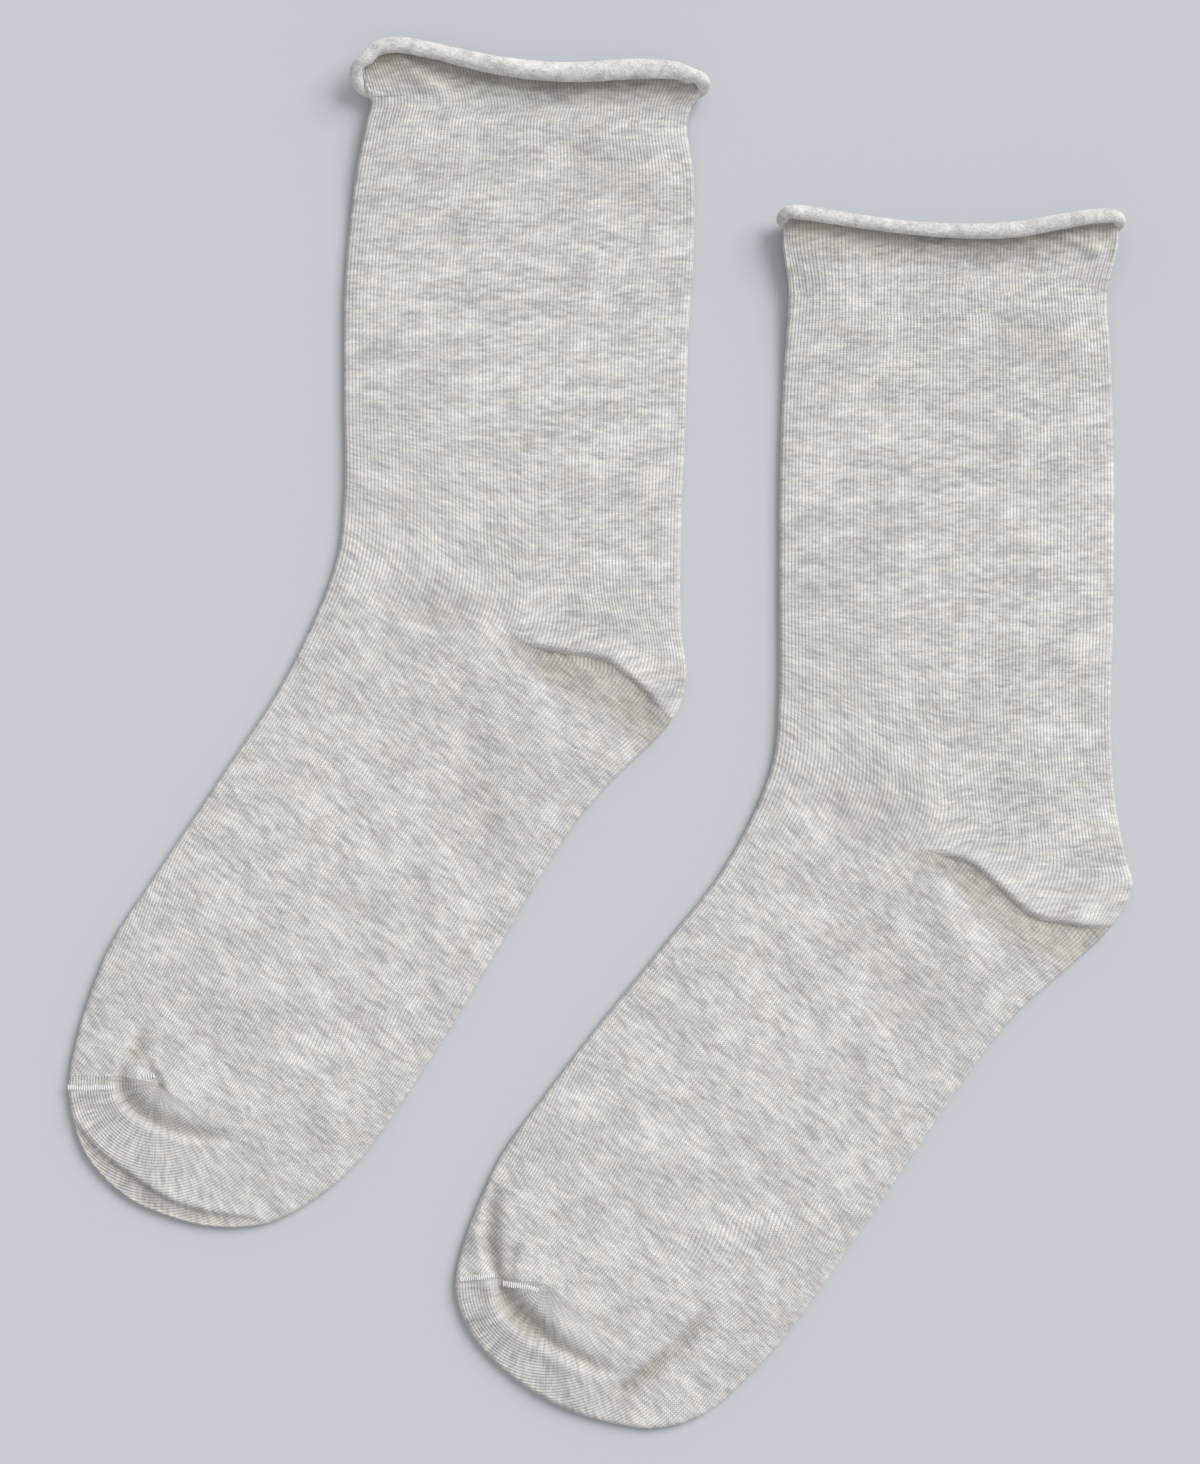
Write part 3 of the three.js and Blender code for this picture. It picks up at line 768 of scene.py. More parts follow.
def step_down(top, xy, points, fall, soft, depth):
    """The upper layer ends at the line, and the lower layer shows beyond it on the right. Gives the painted
    shade where it shows.
    """
    line = smooth_line(points)
    off, along = measure(xy, line)
    total = lengths(line)[-1]
    fade = ease(along, 0, 9) * ease(total - along, 0, 14)
    down = 1 - ease(off, -soft, soft)
    bead = 0.35 * np.exp(-((off - 1.4) / 1.3) ** 2)
    lip = np.minimum(fall, np.maximum(top[:, 2] - 1.9, 0))
    top[:, 2] += fade * (bead - lip * down) * ease(depth, 0.0, 1.2)
    return fade * down


TOE_WORK = {"left": left_toe, "right": right_toe}


def settle(a, times):
    """Evens out values round a closed ring."""
    for _ in range(times):
        a = (np.roll(a, 1, 0) + 2 * a + np.roll(a, -1, 0)) / 4
    return a


def unit(a):
    """Vectors made one long."""
    return a / np.maximum(np.linalg.norm(a, axis=-1, keepdims=True), 1e-9)


def mouth_ring(cuff):
    """The roll's ring: each sample's point, the way it faces and its share of the way across."""
    share = np.linspace(0, 1, RING_RUN + 1)
    runs = []
    for side in ("front", "back"):
        line = smooth_line(cuff[side])
        height = np.full(RING_RUN + 1, cuff[side + "_height"])
        runs.append(np.column_stack([read(line, share * lengths(line)[-1]), height]))
    points, facing, across = [], [], []
    for run, after, up, end in ((runs[0], runs[1], 1, 1), (runs[1], runs[0], -1, 0)):
        points += list(run)
        facing += [(0, 0, up)] * len(run)
        across += list(share if up > 0 else 1 - share)
        for k in range(1, RING_TURN):
            a = math.pi * k / RING_TURN
            c = (1 + math.cos(a)) / 2
            outward = up * math.sin(a)
            points.append(run[-1] * c + after[0] * (1 - c) + np.array([0.9 * outward, 0, 0]))
            facing.append((outward, 0, up * math.cos(a)))
            across.append(end)
    return np.array(points), np.array(facing), np.array(across)


class Mouth:
    """A sock's mouth: the roll's ring with the two directions that it turns in, and its radius."""

    def __init__(self, sock):
        self.cuff = CUFF[sock.which]
        points, self.facing, self.across = mouth_ring(self.cuff)
        self.points = settle(points, 6)
        normals = unit(settle(self.facing, 6))
        ahead = unit(settle(np.roll(self.points, -1, 0) - np.roll(self.points, 1, 0), 10))
        self.outer = unit(np.cross(normals, ahead))
        self.normals = unit(np.cross(ahead, self.outer))
        self.radius = settle(self.spread_across("radius"), 12)

    def spread_across(self, key):
        """Values given from left to right, read at each sample of the ring."""
        values = self.cuff[key]
        return np.interp(self.across, np.linspace(0, 1, len(values)), values)


def rail_across(rail, level):
    """Where the leg's edge lies across, at these levels up the leg."""
    leg = rail[np.argsort(rail[:, 1])][-60:]
    return np.interp(level, leg[:, 1], leg[:, 0])


def leg_ring(sock, mouth, level, proud):
    """Points round the flattened leg at the given levels, standing proud of its surface."""
    r = sock.rim
    facing = mouth.facing
    left, right = rail_across(sock.front, level), rail_across(sock.back, level)
    x = left + r + (right - left - 2 * r) * mouth.across
    xy = np.column_stack([x, level])
    depth = np.minimum(x - left, right - x)
    top, low = sock.heights(xy, depth)
    top = top + relief(sock, xy, depth)[0] * ease(facing[:, 2], 0, 0.9)
    middle, half = (top + low) / 2, (top - low) / 2 + proud
    return np.column_stack([x + (r + proud) * facing[:, 0], level, middle + half * facing[:, 2]])


def band_rings(sock, mouth):
    """The band's rings, from inside the leg's surface out to its edge, and up to where the roll begins."""
    cuff = mouth.cuff
    taper, proud = cuff["taper"], cuff["proud"]
    rng = np.random.default_rng(5)
    ragged = settle(rng.uniform(-1, 1, len(mouth.across)), 1) * cuff["ragged"]
    level = settle(mouth.spread_across("edge"), 6) + ragged
    rings = [leg_ring(sock, mouth, level - 1.2 * taper, -0.45)]
    for k in range(6):
        out = -0.16 + (proud + 0.16) * float(ease(k / 5))
        rings.append(leg_ring(sock, mouth, level + taper * (k - 2) / 3, out))
    start = leg_ring(sock, mouth, level + taper * 1.4 + 0.3, proud)
    end = mouth.points - mouth.normals * 0.02
    gap = np.linalg.norm(end - start, axis=1)[:, None]
    go = np.array([[0, 1.0, 0.06]]) * gap
    come = np.array([[0, 0.75, 0.0]]) * gap + mouth.outer * gap * 0.25
    for s in np.linspace(0, 1, 26):
        h0, h1 = 2 * s ** 3 - 3 * s ** 2 + 1, s ** 3 - 2 * s ** 2 + s
        h2, h3 = -2 * s ** 3 + 3 * s ** 2, s ** 3 - s ** 2
        rings.append(h0 * start + h1 * go + h2 * end + h3 * come)
    return np.array(rings)


def cuff_band(sock):
    """The band and the flared cloth above it, with how elastic each point is and how much painted shade
    darkens it under the roll.
    """
    mouth = Mouth(sock)
    cuff, across, facing = mouth.cuff, mouth.across, mouth.facing
    grid = band_rings(sock, mouth)
    n, m = grid.shape[:2]
    flat = grid.reshape(-1, 3)
    left, right = cuff["flare"]
    flare = ease(across, 0.8, 1.0) * right - (1 - ease(across, 0.0, 0.2)) * left
    flat[:, 0] += np.tile(flare, n) * np.repeat(ease(np.arange(n) / (n - 1), 0.35, 0.85), m)
    xy = flat[:, :2].copy()
    free = np.repeat(ease(np.arange(n), 6, 10) * ease(n - np.arange(n), 1, 5), m)
    shown = ease(np.tile(facing[:, 2], n), 0.2, 0.9) * free
    flat[:, 2] += BAND_UNEVEN * wander(xy, 7) * shown
    for crease, height, width in BAND_CREASES[sock.which]:
        line = smooth_line(crease)
        off, along = measure(xy, line)
        total = lengths(line)[-1]
        fade = ease(along, 0, total * 0.2) * ease(total - along, 0, total * 0.25)
        flat[:, 2] += height * np.exp(-(off / width) ** 2) * fade * shown
    faces, uvs = band_faces(sock, mouth, grid)
    elastic = np.full(len(flat), 0.25)
    if cuff["elastic"]:
        low, high = cuff["elastic"]
        elastic = ease(flat[:, 1], low - 0.6, low + 0.6) * (1 - ease(flat[:, 1], high - 0.8, high + 0.8))
    # Painted shade: the band's upper side darkens towards the roll, between the cuff's shade limits.
    shade_start, shade_end = cuff["shade"]
    shade_share = ease(np.arange(n) / (n - 1), shade_start, shade_end)
    painted_shade = np.repeat(shade_share[:, None], m, 1) * ease(facing[:, 2], 0.0, 0.6)
    return flat, faces, uvs, elastic, painted_shade.ravel()


def band_faces(sock, mouth, grid):
    """The band's faces, with its wales carried on from the leg's."""
    half = sock.half
    n, m = grid.shape[:2]
    inset = sock.rim / 96
    u = sock.whole((inset + mouth.across * (1 - 2 * inset)) * half)
    side = mouth.facing[:, 0]
    edge = np.where(side > 0, half, 0.0)
    u = u + (edge - u) * np.arcsin(np.clip(np.abs(side), 0, 1)) / (math.pi / 2)
    u = np.where(mouth.facing[:, 2] >= 0, u, 2 * half - u)
    v = sock.plan["front"][0][1] - grid[..., 1]
    nxt = np.roll(np.arange(m), -1)
    after = np.where(u[nxt] - u < -half, u[nxt] + 2 * half, u[nxt])
    index = np.arange(n * m).reshape(n, m)
    faces, uvs = [], []
    for i in range(n - 1):
        faces.append(np.stack([index[i], index[i][nxt], index[i + 1][nxt], index[i + 1]], -1))
        v4 = np.stack([v[i], v[i][nxt], v[i + 1][nxt], v[i + 1]], -1)
        uvs.append(np.stack([np.stack([u, after, after, u], -1), v4], -1))
    return np.concatenate(faces).tolist(), np.concatenate(uvs).reshape(-1, 2)


def cuff_roll(sock, turns):
    """The mouth's edge rolled on itself, swept round the mouth as a spiral."""
    mouth = Mouth(sock)
    points, radius = mouth.points, mouth.radius
    m = len(points)
    angles = np.linspace(0, turns * 2 * math.pi, ROLL_STEPS)
    run = np.concatenate([[0], np.cumsum(np.linalg.norm(np.diff(points, axis=0), axis=1))])
    total = run[-1] + np.linalg.norm(points[0] - points[-1])
    rng = np.random.default_rng(mouth.cuff["seed"])
    waves = [(k, rng.uniform(0, 6.283), rng.uniform(-1, 1), rng.integers(-2, 3))
             for k in rng.integers(9, 74, 26)]
    centre = points + mouth.normals * radius[:, None]
    rings = []
    for a in angles:
        shrink = 1 - ROLL_SHRINK * a / angles[-1]
        lump = np.zeros(m)
        for k, phase, size, twist in waves:
            lump += size * np.sin(run / total * 6.283 * k + phase + twist * a) * ROLL_LUMP
        r = radius * shrink * (1 + lump * ease(a, 0.3, 1.2))
        rings.append(centre + r[:, None] * (mouth.outer * math.sin(a) - mouth.normals * math.cos(a)))
    flat = np.array(rings).reshape(-1, 3)
    flat[:, 2] = np.maximum(flat[:, 2], 0.05)
    nxt = np.roll(np.arange(m), -1)
    index = np.arange(len(flat)).reshape(-1, m)
    u, after = run, np.append(run[1:], total)
    faces, uvs = [], []
    for i in range(len(rings) - 1):
        faces.append(np.stack([index[i], index[i + 1], index[i + 1][nxt], index[i][nxt]], -1))
        va, vb = np.full(m, angles[i] * 3.0), np.full(m, angles[i + 1] * 3.0)
        uvs.append(np.stack([np.stack([u, u, after, after], -1), np.stack([va, vb, vb, va], -1)], -1))
    return flat, np.concatenate(faces).tolist(), np.concatenate(uvs).reshape(-1, 2)


class Web:
    """A short way to write a material's or a geometry's nodes."""

    def __init__(self, tree):
        self.tree = tree

    def add(self, kind, inputs=None, **settings):
        """A node with its inputs fed and its settings set."""
        node = self.tree.nodes.new(kind)
        for key, value in settings.items():
            setattr(node, key, value)
        for key, value in (inputs or {}).items():
            self.feed(node.inputs[key], value)
        return node

    def feed(self, socket, value):
        """Links a socket to another one, or sets its value."""
        if isinstance(value, bpy.types.NodeSocket):
            self.tree.links.new(value, socket)
        else:
            socket.default_value = value

    def math(self, operation, a, b=0.0, c=0.0):
        return self.add("ShaderNodeMath", {0: a, 1: b, 2: c}, operation=operation).outputs[0]

    def vector(self, x, y, z=0.0):
        return self.add("ShaderNodeCombineXYZ", {0: x, 1: y, 2: z}).outputs[0]

    def noise(self, vector, scale=1.0, detail=2.0, rough=0.5):
        inputs = {"Vector": vector, "Scale": scale, "Detail": detail, "Roughness": rough}
        return self.add("ShaderNodeTexNoise", inputs).outputs["Fac"]

    def spread(self, value, low, high, to_low=0.0, to_high=1.0):
        """A value's run from low to high, spread over another run."""
        inputs = {"Value": value, "From Min": low, "From Max": high, "To Min": to_low, "To Max": to_high}
        return self.add("ShaderNodeMapRange", inputs).outputs["Result"]

    def random(self, low, high, seed):
        node = self.add("FunctionNodeRandomValue", data_type="FLOAT")
        self.feed(node.inputs[2], low)
        self.feed(node.inputs[3], high)
        self.feed(node.inputs["Seed"], seed)
        return node.outputs[1]

    def mix(self, factor, a, b, blend="MIX"):
        node = self.add("ShaderNodeMix", data_type="RGBA", blend_type=blend)
        self.feed(node.inputs[0], factor)
        self.feed(node.inputs[6], a)
        self.feed(node.inputs[7], b)
        return node.outputs[2]


def new_material(name):
    """An empty material with its shader joined to its output."""
    material = bpy.data.materials.new(name)
    material.use_nodes = True
    material.node_tree.nodes.clear()
    web = Web(material.node_tree)
    shader = web.add("ShaderNodeBsdfPrincipled")
    out = web.add("ShaderNodeOutputMaterial")
    web.tree.links.new(shader.outputs[0], out.inputs["Surface"])
    return material, web, shader


def rgba(colour):
    """A colour with its alpha."""
    return tuple(colour)[:3] + (1.0,)


def heather_knit(fabric):
    """Fine plain knit in a marled yarn, its wales and courses on the piece's own knit coordinates."""
    material, web, shader = new_material("heather_knit")
    uv = web.add("ShaderNodeUVMap", uv_map="knit").outputs[0]
    in_piece = web.add("ShaderNodeTexCoord").outputs["Object"]
    split = web.add("ShaderNodeSeparateXYZ", {0: uv})
    u, v = split.outputs[0], split.outputs[1]
    wale, course = fabric.wale / MM, fabric.course / MM
    elastic = web.add("ShaderNodeAttribute", attribute_name="elastic").outputs["Fac"]
    # The yarn's colour drifts along the courses, in soft streaks a few stitches high.
    number = web.math("FLOOR", web.math("DIVIDE", v, course))
    streak = web.noise(web.vector(web.math("DIVIDE", u, 4.2), web.math("DIVIDE", v, 1.25), 1.5), 1, 2, 0.6)
    patch = web.noise(web.vector(web.math("DIVIDE", u, 12.0), web.math("DIVIDE", v, 5.0), 6.5), 1, 1, 0.5)
    apart = web.math("MULTIPLY", number, 2.13)
    second = web.noise(web.vector(web.math("DIVIDE", u, 2.4), apart, 8.5), 1, 1, 0.5)
    fibre = web.noise(web.vector(web.math("DIVIDE", u, 0.8), web.math("DIVIDE", v, 0.55), 4.0), 1, 2, 0.6)
    cloud = web.noise(in_piece, 62.0, 2, 0.5)
    tone = web.math("ADD", web.math("MULTIPLY", streak, 0.5), web.math("MULTIPLY", patch, 0.26))
    tone = web.math("ADD", tone, web.math("MULTIPLY", second, 0.26))
    tone = web.math("ADD", tone, web.math("MULTIPLY", fibre, 0.16))
    tone = web.math("ADD", tone, web.math("MULTIPLY", cloud, 0.12))
    low = web.spread(tone, 0.50, 0.80)
    colour = web.mix(low, rgba(fabric.dark), rgba(fabric.light))
    hue = web.noise(web.vector(web.math("DIVIDE", u, 6.5), web.math("DIVIDE", v, 2.2), 12.5), 1, 1, 0.5)
    tint = web.mix(web.spread(hue, 0.36, 0.64), (0.985, 0.993, 1.015, 1), (1.012, 1.0, 0.975, 1))
    colour = web.mix(1.0, colour, tint, "MULTIPLY")
    # Painted shade: where the painted_shade attribute is set, the colour is darkened and warmed. That is in
    # the heel's wedge, the creases' troughs, the toe's pleats and under the roll.
    painted_shade = web.add("ShaderNodeAttribute", attribute_name="painted_shade").outputs["Fac"]
    colour = web.mix(painted_shade, colour, web.mix(1.0, colour, (0.775, 0.75, 0.71, 1), "MULTIPLY"))
    # The stitches: two legs in each wale, leaning to each other, with a groove between wales.
    across = web.math("DIVIDE", u, wale)
    part = web.math("FRACT", across)
    off = web.math("ABSOLUTE", web.math("SUBTRACT", part, 0.5))
    ridge = web.math("SINE", web.math("MULTIPLY", part, math.pi))
    lean = web.math("ADD", web.math("DIVIDE", v, course), web.math("MULTIPLY", off, 1.5))
    leg = web.math("MULTIPLY_ADD", web.math("COSINE", web.math("MULTIPLY", lean, 2 * math.pi)), 0.5, 0.5)
    loop = web.math("MULTIPLY", leg, ridge)
    rib = web.math("SINE", web.math("MULTIPLY", web.math("DIVIDE", u, wale * 2), 2 * math.pi))
    rib = web.math("MULTIPLY", rib, elastic)
    groove = web.math("SUBTRACT", 1.0, web.math("POWER", web.math("MAXIMUM", ridge, 0.001), 0.6))
    uneven = web.spread(second, 0.3, 0.7, 0.5, 1.2)
    # Painted shade: the colour darkens in the groove between wales and in the elastic rib's furrows.
    shade = web.math("MULTIPLY", web.math("MULTIPLY", groove, fabric.groove), uneven)
    shade = web.math("ADD", shade, web.math("MULTIPLY", web.math("SUBTRACT", 0.0, rib), 0.02))
    shade = web.math("MAXIMUM", web.math("SUBTRACT", 1.0, shade), 0.0)
    grey = web.vector(shade, shade, shade)
    colour = web.mix(1.0, colour, grey, "MULTIPLY")
    height = web.math("ADD", web.math("MULTIPLY", ridge, 0.55), web.math("MULTIPLY", loop, 0.45))
    height = web.math("ADD", height, web.math("MULTIPLY", fibre, 0.35))
    height = web.math("ADD", height, web.math("MULTIPLY", rib, 0.35))
    height = web.math("ADD", height, web.math("MULTIPLY", cloud, 1.2))
    bump = web.add("ShaderNodeBump", {"Height": height, "Strength": 0.8, "Distance": 0.00028})
    rough = web.spread(fibre, 0.3, 0.7, 0.82, 0.96)
    web.feed(shader.inputs["Base Color"], colour)
    web.feed(shader.inputs["Normal"], bump.outputs[0])
    web.feed(shader.inputs["Roughness"], rough)
    shader.inputs["Specular IOR Level"].default_value = 0.25
    shader.inputs["Sheen Weight"].default_value = 0.12
    shader.inputs["Sheen Roughness"].default_value = 0.5
    return material


def curled_edge(fabric):
    """The knit's purl side where the edge curls: felted, mottled, a little darker."""
    material, web, shader = new_material("curled_edge")
    uv = web.add("ShaderNodeUVMap", uv_map="knit").outputs[0]
    in_piece = web.add("ShaderNodeTexCoord").outputs["Object"]
    split = web.add("ShaderNodeSeparateXYZ", {0: uv})
    u, v = split.outputs[0], split.outputs[1]
    wale, course = fabric.wale / MM, fabric.course / MM
    row = web.math("FLOOR", web.math("DIVIDE", v, course))
    fleck = web.noise(web.vector(web.math("DIVIDE", u, 2.6), web.math("MULTIPLY", row, 2.9), 3.0), 1, 2, 0.6)
    felt = web.noise(in_piece, 1300.0, 3, 0.7)
    blot = web.noise(in_piece, 260.0, 2, 0.55)
    tone = web.math("ADD", web.math("MULTIPLY", fleck, 0.45), web.math("MULTIPLY", felt, 0.6))
    tone = web.math("ADD", tone, web.math("MULTIPLY", blot, 0.4))
    colour = web.mix(web.spread(tone, 0.53, 0.90), rgba(fabric.dark), rgba(fabric.light))
    warm = web.spread(blot, 0.3, 0.5, 0.3, 0.0)
    colour = web.mix(warm, colour, rgba(fabric.warm))
    purl = web.math("COSINE", web.math("MULTIPLY", v, 2 * math.pi / course))
    bead = web.math("COSINE", web.math("MULTIPLY", u, 2 * math.pi / wale))
    height = web.math("MULTIPLY_ADD", web.math("MULTIPLY", purl, bead), 0.4, web.math("MULTIPLY", felt, 1.6))
    height = web.math("ADD", height, web.math("MULTIPLY", blot, 0.7))
    bump = web.add("ShaderNodeBump", {"Height": height, "Strength": 0.7, "Distance": 0.0003})
    web.feed(shader.inputs["Base Color"], colour)
    web.feed(shader.inputs["Normal"], bump.outputs[0])
    web.feed(shader.inputs["Roughness"], web.spread(felt, 0.3, 0.7, 0.85, 0.98))
    shader.inputs["Specular IOR Level"].default_value = 0.2
    shader.inputs["Sheen Weight"].default_value = 0.2
    shader.inputs["Sheen Roughness"].default_value = 0.6
    return material


def seam_thread(fabric):
    """White looping thread, soft and a little uneven."""
    material, web, shader = new_material("seam_thread")
    in_piece = web.add("ShaderNodeTexCoord").outputs["Object"]
    fluff = web.noise(in_piece, 1500.0, 2, 0.6)
    colour = web.mix(web.spread(fluff, 0.3, 0.7), rgba(c * 0.86 for c in fabric.thread), rgba(fabric.thread))
    bump = web.add("ShaderNodeBump", {"Height": fluff, "Strength": 0.6, "Distance": 0.0002})
    web.feed(shader.inputs["Base Color"], colour)
    web.feed(shader.inputs["Normal"], bump.outputs[0])
    web.feed(shader.inputs["Roughness"], web.spread(fluff, 0.3, 0.7, 0.7, 0.9))
    shader.inputs["Sheen Weight"].default_value = 0.1
    return material


def stitch_tree(name, material):
    """Geometry Nodes that stand a small tapered stitch across a line at every step along it."""
    tree = bpy.data.node_groups.new(name, "GeometryNodeTree")
    face = tree.interface
    face.new_socket("Geometry", in_out="INPUT", socket_type="NodeSocketGeometry")
    for label in ("Spacing", "Stitch Length", "Stitch Width"):
        face.new_socket(label, in_out="INPUT", socket_type="NodeSocketFloat")
    face.new_socket("Seed", in_out="INPUT", socket_type="NodeSocketInt")
    face.new_socket("Geometry", in_out="OUTPUT", socket_type="NodeSocketGeometry")
    web = Web(tree)
    given = web.add("NodeGroupInput").outputs
    curve = web.add("GeometryNodeMeshToCurve", {"Mesh": given["Geometry"]})
    points = web.add("GeometryNodeResampleCurve", {"Curve": curve.outputs[0]}, mode="LENGTH")
    web.feed(points.inputs["Length"], given["Spacing"])
    ball = web.add("GeometryNodeMeshIcoSphere", {"Radius": 0.5, "Subdivisions": 2})
    # Each stitch is turned across the line, with a small lean of its own.
    tangent = web.add("GeometryNodeInputTangent").outputs[0]
    turn = web.add("FunctionNodeAlignRotationToVector", {"Vector": tangent}, axis="X", pivot_axis="Z")
    lean = web.random(-0.12, 0.12, given["Seed"])
    by = web.add("FunctionNodeAxisAngleToRotation", {"Axis": (0, 0, 1), "Angle": lean})
    tilt = web.add("FunctionNodeRotateRotation", {"Rotation": turn.outputs[0]}, rotation_space="LOCAL")
    web.feed(tilt.inputs["Rotate By"], by.outputs[0])
    size = web.random(0.84, 1.08, web.math("ADD", given["Seed"], 7))
    tall = web.math("MULTIPLY", given["Stitch Length"], size)
    thin = web.math("MULTIPLY", given["Stitch Width"], 0.45)
    scale = web.vector(given["Stitch Width"], tall, thin)
    put = web.add("GeometryNodeInstanceOnPoints", {"Points": points.outputs[0], "Instance": ball.outputs[0]})
    web.feed(put.inputs["Rotation"], tilt.outputs[0])
    web.feed(put.inputs["Scale"], scale)
    real = web.add("GeometryNodeRealizeInstances", {0: put.outputs[0]})
    smooth = web.add("GeometryNodeSetShadeSmooth", {0: real.outputs[0]})
    coat = web.add("GeometryNodeSetMaterial", {"Geometry": smooth.outputs[0], "Material": material})
    out = web.add("NodeGroupOutput")
    web.feed(out.inputs["Geometry"], coat.outputs[0])
    return tree


def stitch_line(name, path, fabric, seed, material):
    """Stitches standing across a path, three to every two wales, kept as a plain mesh."""
    guide = bpy.data.meshes.new(name + "_guide")
    steps = [(i, i + 1) for i in range(len(path) - 1)]
    guide.from_pydata([tuple(np.asarray(p) * MM) for p in path], steps, [])
    ob = linked(name + "_guide", guide)
    tree = stitch_tree("stitches_" + name, material)
    modifier = ob.modifiers.new("stitches", "NODES")
    modifier.node_group = tree
    values = {"Spacing": fabric.wale * STITCH_STEP, "Stitch Length": fabric.stitch_length,
              "Stitch Width": fabric.stitch_width, "Seed": seed}
    for item in tree.interface.items_tree:
        if item.in_out == "INPUT" and item.name in values:
            modifier[item.identifier] = values[item.name]
    return plain(ob, name)


def plain(ob, name):
    """The evaluated object as a plain mesh in a new object, with the old one removed."""
    graph = bpy.context.evaluated_depsgraph_get()
    mesh = bpy.data.meshes.new_from_object(ob.evaluated_get(graph))
    bpy.data.objects.remove(ob)
    mesh.name = name
    if not mesh.polygons:
        raise RuntimeError(name + " came out empty")
    return linked(name, mesh)


# Where the white toe seam shows, in millimetres: each stretch is a line on the upper side.
SEAMS = {
    "left": [
        [(-159.0, -106.3), (-155, -106.5), (-150, -106.4), (-145.4, -106.2)],
        [(-136.4, -103), (-133.4, -102.8)],
    ],
    "right": [
        [(-41.6, -163.8), (-38.4, -163.2), (-35, -162.8), (-31.8, -162.4)],
        [(-28.8, -165), (-25.8, -165.3), (-22, -165.7), (-18.8, -166.8)],
    ],
}

# The materials, the two sock objects and their plans, as the operators make them.
BUILT = {}


def materials(fabric):
    """The three materials, made once."""
    if "knit" not in BUILT:
        BUILT["knit"] = heather_knit(fabric)
        BUILT["edge"] = curled_edge(fabric)
        BUILT["thread"] = seam_thread(fabric)
    return BUILT


class FabricSettings(bpy.types.PropertyGroup):
    """The knitted cloth's sizes and colours."""

    wall: FloatProperty(name="Wall", description="Thickness of the knitted cloth", default=0.001,
                        min=0.0003, unit="LENGTH")
    rim_radius: FloatProperty(name="Edge radius", description="Roundness of the flattened tube's two edges",
                              default=0.0014, unit="LENGTH")
    loft: FloatProperty(name="Loft", description="How much higher the middle is than the edges",
                        default=0.0013, unit="LENGTH")
    wale: FloatProperty(name="Wale", description="Width of one column of stitches", default=0.00102,
                        unit="LENGTH")
    course: FloatProperty(name="Course", description="Height of one row of stitches", default=0.00074,
                          unit="LENGTH")
    # Painted shade: how much the colour darkens in the groove between wales.
    groove: FloatProperty(name="Groove", description="How dark the groove between two wales is",
                          default=0.42, min=0, max=1, subtype="FACTOR")
    light: FloatVectorProperty(name="Light yarn", description="Lightest yarn", subtype="COLOR", size=3,
                               min=0, max=1, default=(0.955, 0.940, 0.893))
    dark: FloatVectorProperty(name="Dark yarn", description="Darkest yarn", subtype="COLOR", size=3,
                              min=0, max=1, default=(0.515, 0.508, 0.496))
    warm: FloatVectorProperty(name="Warm fleck", description="Warm flecks of the felted edge",
                              subtype="COLOR", size=3, min=0, max=1, default=(0.50, 0.475, 0.44))
    thread: FloatVectorProperty(name="Seam thread", description="Colour of the toe seam", subtype="COLOR",
                                size=3, min=0, max=1, default=(0.84, 0.845, 0.875))
    stitch_length: FloatProperty(name="Stitch length", description="Length of one seam stitch",
                                 default=0.0019, unit="LENGTH")
    stitch_width: FloatProperty(name="Stitch width", description="Width of one seam stitch",
                                default=0.00062, unit="LENGTH")


class CuffSettings(bpy.types.PropertyGroup):
    """The rolled mouths."""

    wall: FloatProperty(name="Wall", description="Thickness of the rolled cloth", default=0.0006,
                        unit="LENGTH")
    roll_turns: FloatProperty(name="Roll turns", description="How many times the edge rolls round",
                              default=1.45, min=0.6, max=3)


class StageSettings(bpy.types.PropertyGroup):
    """Floor, light and camera."""

    floor: FloatVectorProperty(name="Floor", description="Colour of the floor", subtype="COLOR", size=3,
                               min=0, max=1, default=(0.598, 0.612, 0.655))
    sun: FloatProperty(name="Sun", description="Strength of the soft key light", default=2.38)
    key_from: FloatVectorProperty(name="Key light from", description="Way that the key light comes from",
                                  subtype="DIRECTION", size=3, default=(0.60, 0.50, 0.60))
    sky: FloatProperty(name="Sky", description="Strength of the even light from all round", default=0.533)
    sky_tint: FloatVectorProperty(name="Sky tint", description="Colour of the even light",
                                  subtype="COLOR", size=3, min=0, max=1, default=(0.97, 0.985, 1.0))
    softness: FloatProperty(name="Softness", description="Angle that the key light spans",
                            default=math.radians(38), subtype="ANGLE")
    distance: FloatProperty(name="Camera height", description="Camera above the floor", default=1.037,
                            unit="LENGTH")
    lens: FloatProperty(name="Lens", description="Focal length in millimetres", default=85.0)


class SOCKS_OT_bodies(bpy.types.Operator):
    """Knit the leg, heel, foot and toe of each sock"""

    bl_idname = "socks.bodies"
    bl_label = "Socks"

    def execute(self, context):
        fabric = context.scene.sock_fabric
        for which in SIDES:
            sock = Sock(which, fabric)
            verts, faces, uvs, painted_shade = sock_body(sock)
            ob = mesh_object(which + "_sock", verts, faces, materials(fabric)["knit"], uvs)
            give(ob, "painted_shade", painted_shade)
            BUILT[which + "_sock"] = ob
            BUILT[which + "_plan"] = sock
            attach(ob, "root")
            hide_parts(*[which + "_" + part for part in ("leg", "heel", "foot", "toe")])
        return {"FINISHED"}


class SOCKS_OT_bands(bpy.types.Operator):
    """Knit the band at the mouth of each sock"""

    bl_idname = "socks.bands"
    bl_label = "Bands"

    def execute(self, context):
        fabric, cuffs = context.scene.sock_fabric, context.scene.sock_cuffs
        for which in SIDES:
            verts, faces, uvs, elastic, painted_shade = cuff_band(BUILT[which + "_plan"])
            ob = mesh_object(which + "_band", verts, faces, materials(fabric)["knit"], uvs)
            give(ob, "elastic", elastic)
            give(ob, "painted_shade", painted_shade)
            thick(ob, cuffs.wall)
            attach(ob, "root")
            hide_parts(which + "_cuff_band")
        return {"FINISHED"}


